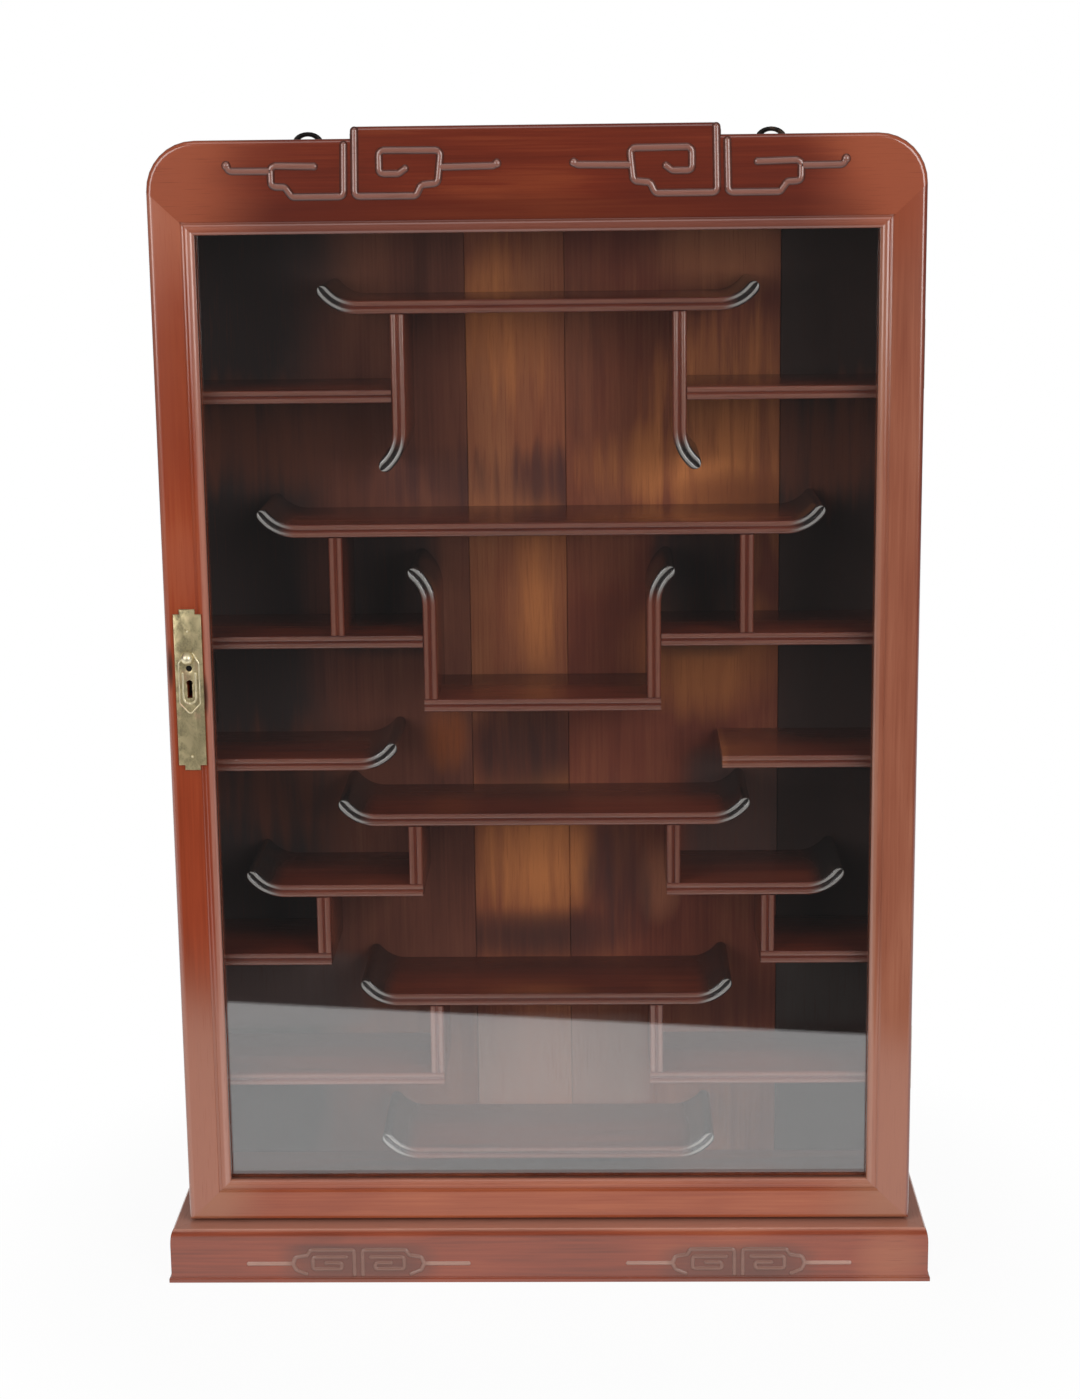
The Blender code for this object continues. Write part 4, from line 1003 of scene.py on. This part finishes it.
    def build(self) -> None:
        """Build every shelf and divider."""
        for node in self.curled:
            self.shelf(node, True, True)
        self.shelf("well_floor", False, False)
        self.shelf("bracket_shelf_left", False, True)
        self.shelf("bracket_shelf_right", False, False)
        for name, side in (("_left", -1), ("_right", 1)):
            self.shelf("middle_shelf" + name, side < 0, side > 0)
            for node in self.flat:
                self.shelf(node + name, False, False)
            for node in self.straight:
                self.divider(node + name, side, 0)
            self.divider("upper_divider" + name, side, -1)
            self.divider("well_wall" + name, side, 1)


@dataclass
class Joinery:
    """Boards, mouldings and fittings whose solids are right, with their edges eased."""

    ease: float = 0.0005
    ease_steps: int = 2
    flat: float = math.radians(0.5)     # faces that turn less than this are made one
    mitre_gap: float = 0.0003           # left between the bars of the door frame in the model
    eye_head: float = 0.0124            # part of a hanging eye that stands over its plate
    eye_spread: float = 1.4             # width of that part against the model's
    spread_rise: float = 0.5            # share of the head over which it grows to that width
    seed: int = field(default=Seed.BOARDS, init=False)

    def finish(self, node: str, body: Body, slot: Slot, finish: Finish, grain: Grain,
               eased: bool = True) -> bpy.types.Object:
        """Copy a node, ease its arrises and dress it.

        Args:
            node: The node.
            body: Group that it belongs to.
            slot: Slot of its finish; not used.
            finish: Its finish.
            grain: Direction of the fibres or of the polishing marks.
            eased: Whether its sharp edges are rounded.

        Returns:
            The finished piece.
        """
        bm = bmesh.new()
        bm.from_mesh(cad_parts[node].data)
        bmesh.ops.remove_doubles(bm, verts=bm.verts, dist=SAME)
        bmesh.ops.dissolve_limit(bm, angle_limit=self.flat, verts=bm.verts, edges=bm.edges)
        if eased:
            arrises = [e for e in bm.edges if e.is_manifold and e.calc_face_angle() > SHARP]
            bmesh.ops.bevel(bm, geom=arrises, offset=self.ease, offset_type="OFFSET", segments=self.ease_steps,
                            profile=0.5, affect="EDGES", clamp_overlap=True, material=-1)
        material = finish.material("finish_" + node, grain, self.seed)
        self.seed += 1
        piece = add_piece("finished_" + node, bm, body, material, [node])
        weighted = piece.modifiers.new("even_shading", "WEIGHTED_NORMAL")
        weighted.keep_sharp = True
        return piece

    def close_mitres(self, stile: bpy.types.Object) -> None:
        """Lengthen a stile at both ends so that it meets the rails.

        Args:
            stile: The finished stile.
        """
        heights = [v.co.z for v in stile.data.vertices]
        low, high = min(heights), max(heights)
        grow = Matrix.Scale(1.0 + 2.0 * self.mitre_gap / (high - low), 4, Z_AXIS)
        middle = Z_AXIS * ((low + high) / 2)
        stile.data.transform(Matrix.Translation(middle) @ grow @ Matrix.Translation(-middle))

    def flatten_eye(self, eye: bpy.types.Object) -> None:
        """Widen the head of a hanging eye to a flat loop.

        Args:
            eye: The finished eye.
        """
        places = [v.co for v in eye.data.vertices]
        top, middle = max(p.z for p in places), (min(p.x for p in places) + max(p.x for p in places)) / 2
        for place in places:
            rise = (place.z - top + self.eye_head) / (self.eye_head * self.spread_rise)
            rise = min(max(rise, 0.0), 1.0)
            place.x = middle + (place.x - middle) * (1.0 + (self.eye_spread - 1.0) * rise)

    def build(self) -> None:
        """Finish the case, the base, the door frame and the fittings."""
        for side in ("left", "right"):
            self.finish("side_panel_" + side, Body.CASE, Slot.FRAME, CASE_WOOD, Grain.UPRIGHT)
            self.finish("base_" + side, Body.CASE, Slot.FRAME, BASE_WOOD, Grain.DEEP, False)
            eye = self.finish("hanging_eye_" + side, Body.CASE, Slot.IRON, IRON, Grain.UPRIGHT, False)
            self.flatten_eye(eye)
        for node in ("top_panel", "floor_panel"):
            self.finish(node, Body.CASE, Slot.FRAME, CASE_WOOD, Grain.ACROSS)
        self.finish("base_front", Body.CASE, Slot.FRAME, BASE_WOOD, Grain.ACROSS, False)
        for node in ("base_back", "bottom_shelf_batten"):
            self.finish(node, Body.CASE, Slot.PLAIN, PLAIN_WOOD, Grain.ACROSS)
        for node, wood in BACK_WOODS.items():
            self.finish(node, Body.CASE, Slot.BACK, wood, Grain.UPRIGHT)
        for node, wood in (("door_stile_left", LEFT_STILE), ("door_stile_right", RIGHT_STILE)):
            self.close_mitres(self.finish(node, Body.DOOR, Slot.FRAME, wood, Grain.UPRIGHT, False))
        self.finish("door_bottom_rail", Body.DOOR, Slot.FRAME, BOTTOM_RAIL, Grain.ACROSS, False)
        self.finish("door_top_rail", Body.DOOR, Slot.FRAME, TOP_RAIL, Grain.ACROSS, False)
        self.finish("glazing_bead", Body.DOOR, Slot.FRAME, CASE_WOOD, Grain.UPRIGHT, False)
        self.finish("lock_case", Body.DOOR, Slot.IRON, IRON, Grain.UPRIGHT)
        self.finish("lock_bolt", Body.BOLT, Slot.BRASS, BRASS, Grain.ACROSS)
        for level in ("upper", "lower"):
            for leaf, body in (("case_leaf", Body.CASE), ("pin", Body.CASE), ("door_leaf", Body.DOOR)):
                self.finish(f"hinge_{level}_{leaf}", body, Slot.BRASS, BRASS, Grain.UPRIGHT, False)


@dataclass
class Carving:
    """Raised round beads that follow lines on a face of the cabinet."""

    name: str
    body: Body
    y: float
    radius: float
    bend: float
    bend_steps: int = 4
    sides: int = 10
    knob_sides: int = 12
    knob_rings: int = 8

    def __post_init__(self) -> None:
        """Start with an empty mesh."""
        self.bm = bmesh.new()

    def trace(self, line: Sequence[Point], origin: Point = (0.0, 0.0)) -> None:
        """Run a bead along straight stretches with rounded corners.

        Args:
            line: Corners of the line.
            origin: Place that they are counted from.
        """
        points = [(origin[0] + x, origin[1] + z) for x, z in line]
        spots = [Vector((x, 0.0, z)) for x, z in points]
        runs = [b - a for a, b in zip(spots, spots[1:])]
        turns = [0.0] + [self._turn(a, b) for a, b in zip(runs, runs[1:])] + [0.0]
        trims = [self.bend * math.tan(abs(t) / 2) for t in turns]
        heading = runs[0].normalized()
        facing = heading.to_track_quat("Z", "Y").to_matrix().to_4x4()
        place = Matrix.Translation(spots[0] + Y_AXIS * self.y) @ facing
        ring = bmesh.ops.create_circle(self.bm, cap_ends=True, segments=self.sides, radius=self.radius,
                                       matrix=place)
        cap = next(f for f in ring["verts"][0].link_faces)
        sweep = Sweep(self.bm, cap, spots[0], heading)
        for i, run in enumerate(runs):
            sweep.forward(run.length - trims[i] - trims[i + 1])
            if abs(turns[i + 1]) > SAME:
                sweep.turn(self.bend, turns[i + 1], self.bend_steps)
        for end in (points[0], points[-1]):
            self.knob(end, self.radius)

    @staticmethod
    def _turn(before: Vector, after: Vector) -> float:
        """Angle between two runs, positive to the left seen from the front."""
        cross = before.x * after.z - before.z * after.x
        return math.atan2(cross, before.dot(after))

    def knob(self, at: Point, radius: float) -> None:
        """Add a round end."""
        place = Matrix.Translation((at[0], self.y, at[1]))
        bmesh.ops.create_uvsphere(self.bm, u_segments=self.knob_sides, v_segments=self.knob_rings,
                                  radius=radius, matrix=place)

    def mirror(self, x: float) -> None:
        """Repeat everything on the other side of an upright line."""
        about = Matrix.Translation((-x, 0.0, 0.0))
        bmesh.ops.mirror(self.bm, geom=self.bm.verts[:] + self.bm.edges[:] + self.bm.faces[:],
                         matrix=about, merge_dist=0.0, axis="X")

    def dress(self, wood: Wood) -> None:
        """Finish the bead as part of its board."""
        material = wood.material("polished_" + self.name, Grain.ACROSS, Seed.CARVING)
        add_piece(self.name, self.bm, self.body, material)


@dataclass
class CrestScrolls:
    """Key scrolls on the top rail: one pair on the crest and one pair on the shoulders."""

    bead_radius: float = 0.0030
    sink: float = 0.0012
    bend: float = 0.0032
    knob_radius: float = 0.0034
    lowest: float = 0.0453              # lowest bead below the top of the crest
    crest_end: float = 0.1230           # end of the crest from the middle of the door
    shoulder: Line = ((-0.0240, 0.0198), (-0.0530, 0.0205), (-0.0530, 0.0070), (-0.0436, 0.0065),
                      (-0.0390, 0.0), (-0.0048, 0.0), (-0.0040, 0.0335))
    shoulder_arm: Line = ((-0.0825, 0.0210), (-0.0805, 0.0172), (-0.0530, 0.0170))
    crest: Line = ((0.0034, 0.0425), (0.0026, 0.0), (0.0435, 0.0), (0.0469, 0.0070), (0.0580, 0.0081),
                   (0.0604, 0.0295), (0.0193, 0.0298), (0.0192, 0.0145), (0.0320, 0.0145), (0.0365, 0.0178))
    crest_arm: Line = ((0.0600, 0.0185), (0.0950, 0.0190), (0.0975, 0.0205))

    def build(self) -> None:
        """Carve the left side from the end of the crest and its lowest bead, and mirror it."""
        low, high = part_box("door_top_rail")
        carving = Carving("crest_scrolls", Body.DOOR, low.y + self.sink, self.bead_radius, self.bend)
        x, z = -self.crest_end, high.z - self.lowest
        for scroll, arm, tip in ((self.shoulder, self.shoulder_arm, self.shoulder_arm[0]),
                                 (self.crest, self.crest_arm, self.crest_arm[-1])):
            carving.trace(scroll, (x, z))
            carving.trace(arm, (x, z))
            carving.knob((x + tip[0], z + tip[1]), self.knob_radius)
        carving.mirror(0.0)
        carving.dress(CREST_BEAD)


@dataclass
class BaseScrolls:
    """Two flat key scrolls on the front of the base."""

    bead_radius: float = 0.0018
    sink: float = 0.0008
    bend: float = 0.0019
    middle: float = 0.1370              # middle of a scroll from the middle of the base
    lip: float = 0.0015                 # lip of the base in front of its face
    hook: Line = ((-0.0030, 0.0055), (-0.0030, 0.0245), (-0.0345, 0.0245), (-0.0370, 0.0205),
                  (-0.0455, 0.0190), (-0.0475, 0.0140), (-0.0450, 0.0090), (-0.0380, 0.0060))
    key: Line = ((-0.0090, 0.0190), (-0.0330, 0.0190), (-0.0330, 0.0098), (-0.0120, 0.0098),
                 (-0.0120, 0.0145), (-0.0235, 0.0145))
    arm: Line = ((-0.0475, 0.0140), (-0.0795, 0.0140))

    def build(self) -> None:
        """Carve half of one scroll, and mirror it to its other half and to the other scroll."""
        low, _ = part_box("base_front")
        carving = Carving("base_scrolls", Body.CASE, low.y + self.lip + self.sink, self.bead_radius, self.bend)
        for line in (self.hook, self.key, self.arm):
            carving.trace(line, (-self.middle, 0.0))
        carving.mirror(-self.middle)
        carving.mirror(0.0)
        carving.dress(BASE_BEAD)


@dataclass
class LockPlate:
    """The brass plate on the left stile, with a raised border round its keyhole."""

    tab_width: float = 0.0110
    tab_height: float = 0.0035
    eye_radius: float = 0.0020
    eye_rise: float = 0.0051            # eye of the keyhole above the middle of the plate
    leg_width: float = 0.0032
    leg: float = 0.0105
    pin_hole_radius: float = 0.0020
    pin_hole_rise: float = 0.0104       # above the eye
    dome_radius: float = 0.0046
    dome_aside: float = 0.0010          # left of the middle
    dome_rise: float = 0.0176           # above the eye
    nail_rise: float = 0.0366           # above the eye
    nail_radius: float = 0.0011
    foot_nail: float = 0.0100           # lower nail above the foot of the plate
    border: Line = ((-0.0030, 0.0210), (-0.0070, 0.0140), (-0.0070, -0.0145), (0.0, -0.0220),
                    (0.0070, -0.0145), (0.0070, 0.0140), (0.0030, 0.0210))
    border_radius: float = 0.0006
    border_bend: float = 0.0020
    inner_half: float = 0.0044          # half the width of the inner border
    inner_top: float = 0.0070           # its ends above the eye
    inner_drop: float = 0.0100          # start of its bow below the eye
    inner_radius: float = 0.0009
    edge: float = 0.0009
    edge_angle: float = math.radians(45)
    edge_steps: int = 2
    eye_steps: int = 20
    hole_steps: int = 14
    bow_steps: int = 8

    def __post_init__(self) -> None:
        """Read the plate's place."""
        self.low, self.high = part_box("lock_plate")
        self.x = (self.low.x + self.high.x) / 2
        self.z = (self.low.z + self.high.z) / 2
        self.z_eye = self.z + self.eye_rise

    def _loop(self, bm: bmesh.types.BMesh, outline: Sequence[Point]) -> list[bmesh.types.BMEdge]:
        """Add a closed outline on the back of the plate."""
        corners = [bm.verts.new((a, self.high.y, b)) for a, b in outline]
        return [bm.edges.new(pair) for pair in zip(corners, corners[1:] + corners[:1])]

    def _keyhole(self) -> list[Point]:
        """Draw a round eye over a straight leg.

        Returns:
            The outline.
        """
        half = self.leg_width / 2
        drop = math.asin(half / self.eye_radius)
        eye = arc((self.x, self.z_eye), self.eye_radius, drop - math.pi / 2, 1.5 * math.pi - drop,
                  self.eye_steps)
        low = self.z_eye - self.leg
        return eye + [(self.x - half, low), (self.x + half, low)]

    def _outline(self) -> list[Point]:
        """Draw the plate with a narrower tab at each end.

        Returns:
            The outline.
        """
        wide, narrow = (self.high.x - self.low.x) / 2, self.tab_width / 2
        top = (self.high.z - self.low.z) / 2
        step = top - self.tab_height
        half = [(narrow, -top), (narrow, -step), (wide, -step), (wide, step), (narrow, step), (narrow, top)]
        rim = half + [(-a, b) for a, b in reversed(half)]
        return [(self.x + a, self.z + b) for a, b in rim]

    def plate(self) -> None:
        """Build the plate with its keyhole and pin hole."""
        bm = bmesh.new()
        z_hole = self.z_eye + self.pin_hole_rise
        hole = arc((self.x, z_hole), self.pin_hole_radius, 0.0, 2 * math.pi, self.hole_steps)[:-1]
        edges = [e for outline in (self._outline(), self._keyhole(), hole) for e in self._loop(bm, outline)]
        bmesh.ops.triangle_fill(bm, edges=edges, use_beauty=True, use_dissolve=True, normal=-Y_AXIS)
        front = bmesh.ops.extrude_face_region(bm, geom=bm.faces[:])["geom"]
        moved = [g for g in front if isinstance(g, bmesh.types.BMVert)]
        bmesh.ops.translate(bm, verts=moved, vec=Y_AXIS * (self.low.y - self.high.y))
        rim = [e for e in bm.edges if all(abs(v.co.y - self.low.y) < SAME for v in e.verts)
               and len(e.link_faces) == 2 and e.calc_face_angle() > self.edge_angle]
        bmesh.ops.bevel(bm, geom=rim, offset=self.edge, segments=self.edge_steps, profile=0.5,
                        affect="EDGES", clamp_overlap=True, material=-1)
        material = BRASS.material("brass_lock_plate", Grain.UPRIGHT, Seed.PLATE)
        add_piece("worn_lock_plate", bm, Body.DOOR, material, ["lock_plate"])

    def relief(self) -> None:
        """Add the two borders round the keyhole, the dome and the nails."""
        name = "lock_plate_relief"
        carving = Carving(name, Body.DOOR, self.low.y, self.border_radius, self.border_bend)
        carving.trace(self.border, (self.x, self.z_eye))
        bow = arc((0.0, -self.inner_drop), self.inner_half, -math.pi, 0.0, self.bow_steps)
        carving.radius = self.inner_radius
        carving.trace([(-self.inner_half, self.inner_top), *bow, (self.inner_half, self.inner_top)],
                      (self.x, self.z_eye))
        carving.knob((self.x - self.dome_aside, self.z_eye + self.dome_rise), self.dome_radius)
        carving.knob((self.x, self.z_eye + self.nail_rise), self.nail_radius)
        carving.knob((self.x, self.low.z + self.foot_nail), self.nail_radius)
        material = RUBBED_BRASS.material("brass_lock_relief", Grain.UPRIGHT, Seed.RELIEF)
        add_piece(name, carving.bm, Body.DOOR, material)

    def pin(self) -> None:
        """Sink a dark iron disc in the small hole over the keyhole, as painted shade in the hole."""
        bm = bmesh.new()
        deep = (self.high.y - self.low.y) / 2
        place = Matrix.Translation((self.x, self.high.y - deep / 2, self.z_eye + self.pin_hole_rise))
        bmesh.ops.create_cone(bm, cap_ends=True, segments=self.hole_steps, radius1=self.pin_hole_radius,
                              radius2=self.pin_hole_radius, depth=deep,
                              matrix=place @ Matrix.Rotation(math.pi / 2, 4, "X"))
        material = IRON.material("iron_hole_shade", Grain.DEEP, Seed.HOLE_SHADE)
        add_piece("lock_plate_hole_shade", bm, Body.DOOR, material)

    def build(self) -> None:
        """Build the plate and what stands on it."""
        self.plate()
        self.relief()
        # painted shade in the pin hole
        self.pin()


def dress_glass() -> None:
    """Give the pane its finish."""
    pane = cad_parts["door_glass"]
    pane.data.materials.clear()
    pane.data.materials.append(GLASS.material("old_pane"))
    LOG.info("door_glass: pane dressed")


@dataclass(frozen=True)
class Lamp:
    """A soft box that is turned to a point."""

    name: str
    at: Triple
    toward: Triple
    width: float
    height: float
    watts: float

    def hang(self) -> None:
        """Add the lamp to the scene."""
        data = bpy.data.lights.new(self.name, "AREA")
        data.shape = "RECTANGLE"
        data.size, data.size_y, data.energy = self.width, self.height, self.watts
        lamp = put_in_scene(self.name, data)
        lamp.location = self.at
        aim = Vector(self.toward) - Vector(self.at)
        lamp.rotation_euler = aim.to_track_quat("-Z", "Y").to_euler()


@dataclass
class Studio:
    """A pale floor, soft lamps, a white backdrop and the camera."""

    focal_px: float = 2614.33
    image_height_px: float = 1399.0
    sensor: float = 36.0
    camera_at: Triple = (0.04124, -1.8212, 0.8130)
    pitch: float = math.radians(12.306)
    yaw: float = math.radians(-1.3765)
    roll: float = math.radians(-0.7054)
    view_end: float = 50.0
    floor_front: float = 0.592          # front edge of the floor before the cabinet
    floor_slant: float = 0.166          # slope of that edge
    floor_size: float = 6.0
    floor_color: Color = (0.86, 0.86, 0.855)
    floor_white: float = 0.95           # share of plain white on the floor close to the cabinet
    white_edge: Point = (0.30, 0.50)    # distance over which the floor turns all white
    ambient: float = 0.25
    room_glow: float = 0.035            # what gloss mirrors of the room in front
    backdrop_glow: float = 0.12         # what it mirrors of the backdrop on top of that
    backdrop_edge: Point = (-0.55, 0.10)  # direction in Y over which the backdrop starts
    lamps: tuple[Lamp, ...] = (
        Lamp("soft_box_left", (-1.45, -2.05, 1.20), (0.0, 0.0, 0.40), 1.4, 1.6, 26.0),
        Lamp("soft_box_right", (1.45, -2.05, 1.20), (0.0, 0.0, 0.40), 1.4, 1.6, 34.0),
        Lamp("soft_box_top", (0.0, -0.9, 2.5), (0.0, 0.0, 0.5), 1.6, 1.0, 7.0))

    def camera(self) -> None:
        """Place the camera where the photograph was taken from."""
        ahead, aside = math.cos(self.yaw), math.sin(self.yaw)
        forward = Vector((aside * math.cos(self.pitch), ahead * math.cos(self.pitch), -math.sin(self.pitch)))
        right = Vector((ahead, -aside, 0.0))
        down = forward.cross(right)
        c, s = math.cos(self.roll), math.sin(self.roll)
        image_right, image_down = right * c - down * s, right * s + down * c
        data = bpy.data.cameras.new("camera")
        data.sensor_width = self.sensor
        data.sensor_fit = "AUTO"
        data.lens = self.focal_px / self.image_height_px * self.sensor
        data.clip_end = self.view_end
        camera = put_in_scene("camera", data)
        axes = Matrix((image_right, -image_down, -forward)).transposed().to_4x4()
        camera.matrix_world = Matrix.Translation(self.camera_at) @ axes
        bpy.context.scene.camera = camera

    def floor(self) -> None:
        """Lay a pale sheet that ends a little way in front of the cabinet."""
        bm = bmesh.new()
        bmesh.ops.create_grid(bm, x_segments=1, y_segments=1, size=self.floor_size / 2)
        for vert in bm.verts:
            if vert.co.y < 0:
                vert.co.y = -self.floor_front + self.floor_slant * vert.co.x
        mesh = bpy.data.meshes.new("floor")
        bm.to_mesh(mesh)
        bm.free()
        floor = put_in_scene("floor", mesh)
        material, graph = new_graph("pale_floor")
        far = graph.node("ShaderNodeVectorMath", {"operation": "LENGTH"}, {0: graph.place()}, "Value")
        shown = graph.ray(Ray.CAMERA).over(graph.ray(Ray.THROUGH))
        pale = graph.node("ShaderNodeBsdfDiffuse", sockets={"Color": (*self.floor_color, 1.0)})
        white = graph.node("ShaderNodeEmission", sockets={"Color": WHITE, "Strength": 1.0})
        plain = self.floor_white + graph.step(far, *self.white_edge) * (1.0 - self.floor_white)
        share = (plain * shown).over(graph.ray(Ray.GLOSSY))
        graph.surface(graph.node("ShaderNodeMixShader", sockets={0: share, 1: pale, 2: white}))
        mesh.materials.append(material)

    def world(self) -> None:
        """White behind the cabinet, dim light all round, and a dark room in front of it."""
        world = bpy.data.worlds.new("studio")
        bpy.context.scene.world = world
        world.use_nodes = True
        graph = Graph(world.node_tree)
        direction = graph.node("ShaderNodeTexCoord", output="Generated")
        depth = graph.node("ShaderNodeSeparateXYZ", sockets={0: direction}, output="Y")
        shown = graph.ray(Ray.CAMERA).over(graph.ray(Ray.THROUGH))
        mirrored = graph.ray(Ray.GLOSSY)
        glow = self.room_glow + graph.step(depth, *self.backdrop_edge) * self.backdrop_glow
        strength = shown + (1.0 - shown) * (mirrored * glow + (1.0 - mirrored) * self.ambient)
        backdrop = graph.node("ShaderNodeBackground", sockets={"Color": WHITE, "Strength": strength})
        graph.node("ShaderNodeOutputWorld", sockets={"Surface": backdrop})

    def build(self) -> None:
        """Set up the whole studio."""
        self.camera()
        self.floor()
        self.world()
        for lamp in self.lamps:
            lamp.hang()
        bpy.context.scene.view_settings.view_transform = "Standard"


def main() -> None:
    """Build every class in order."""
    logging.basicConfig(level=logging.INFO, format="%(name)s: %(message)s")
    Studio().build()
    Joinery().build()
    Shelves().build()
    CrestScrolls().build()
    BaseScrolls().build()
    LockPlate().build()
    dress_glass()


if __name__ == "__main__":
    main()
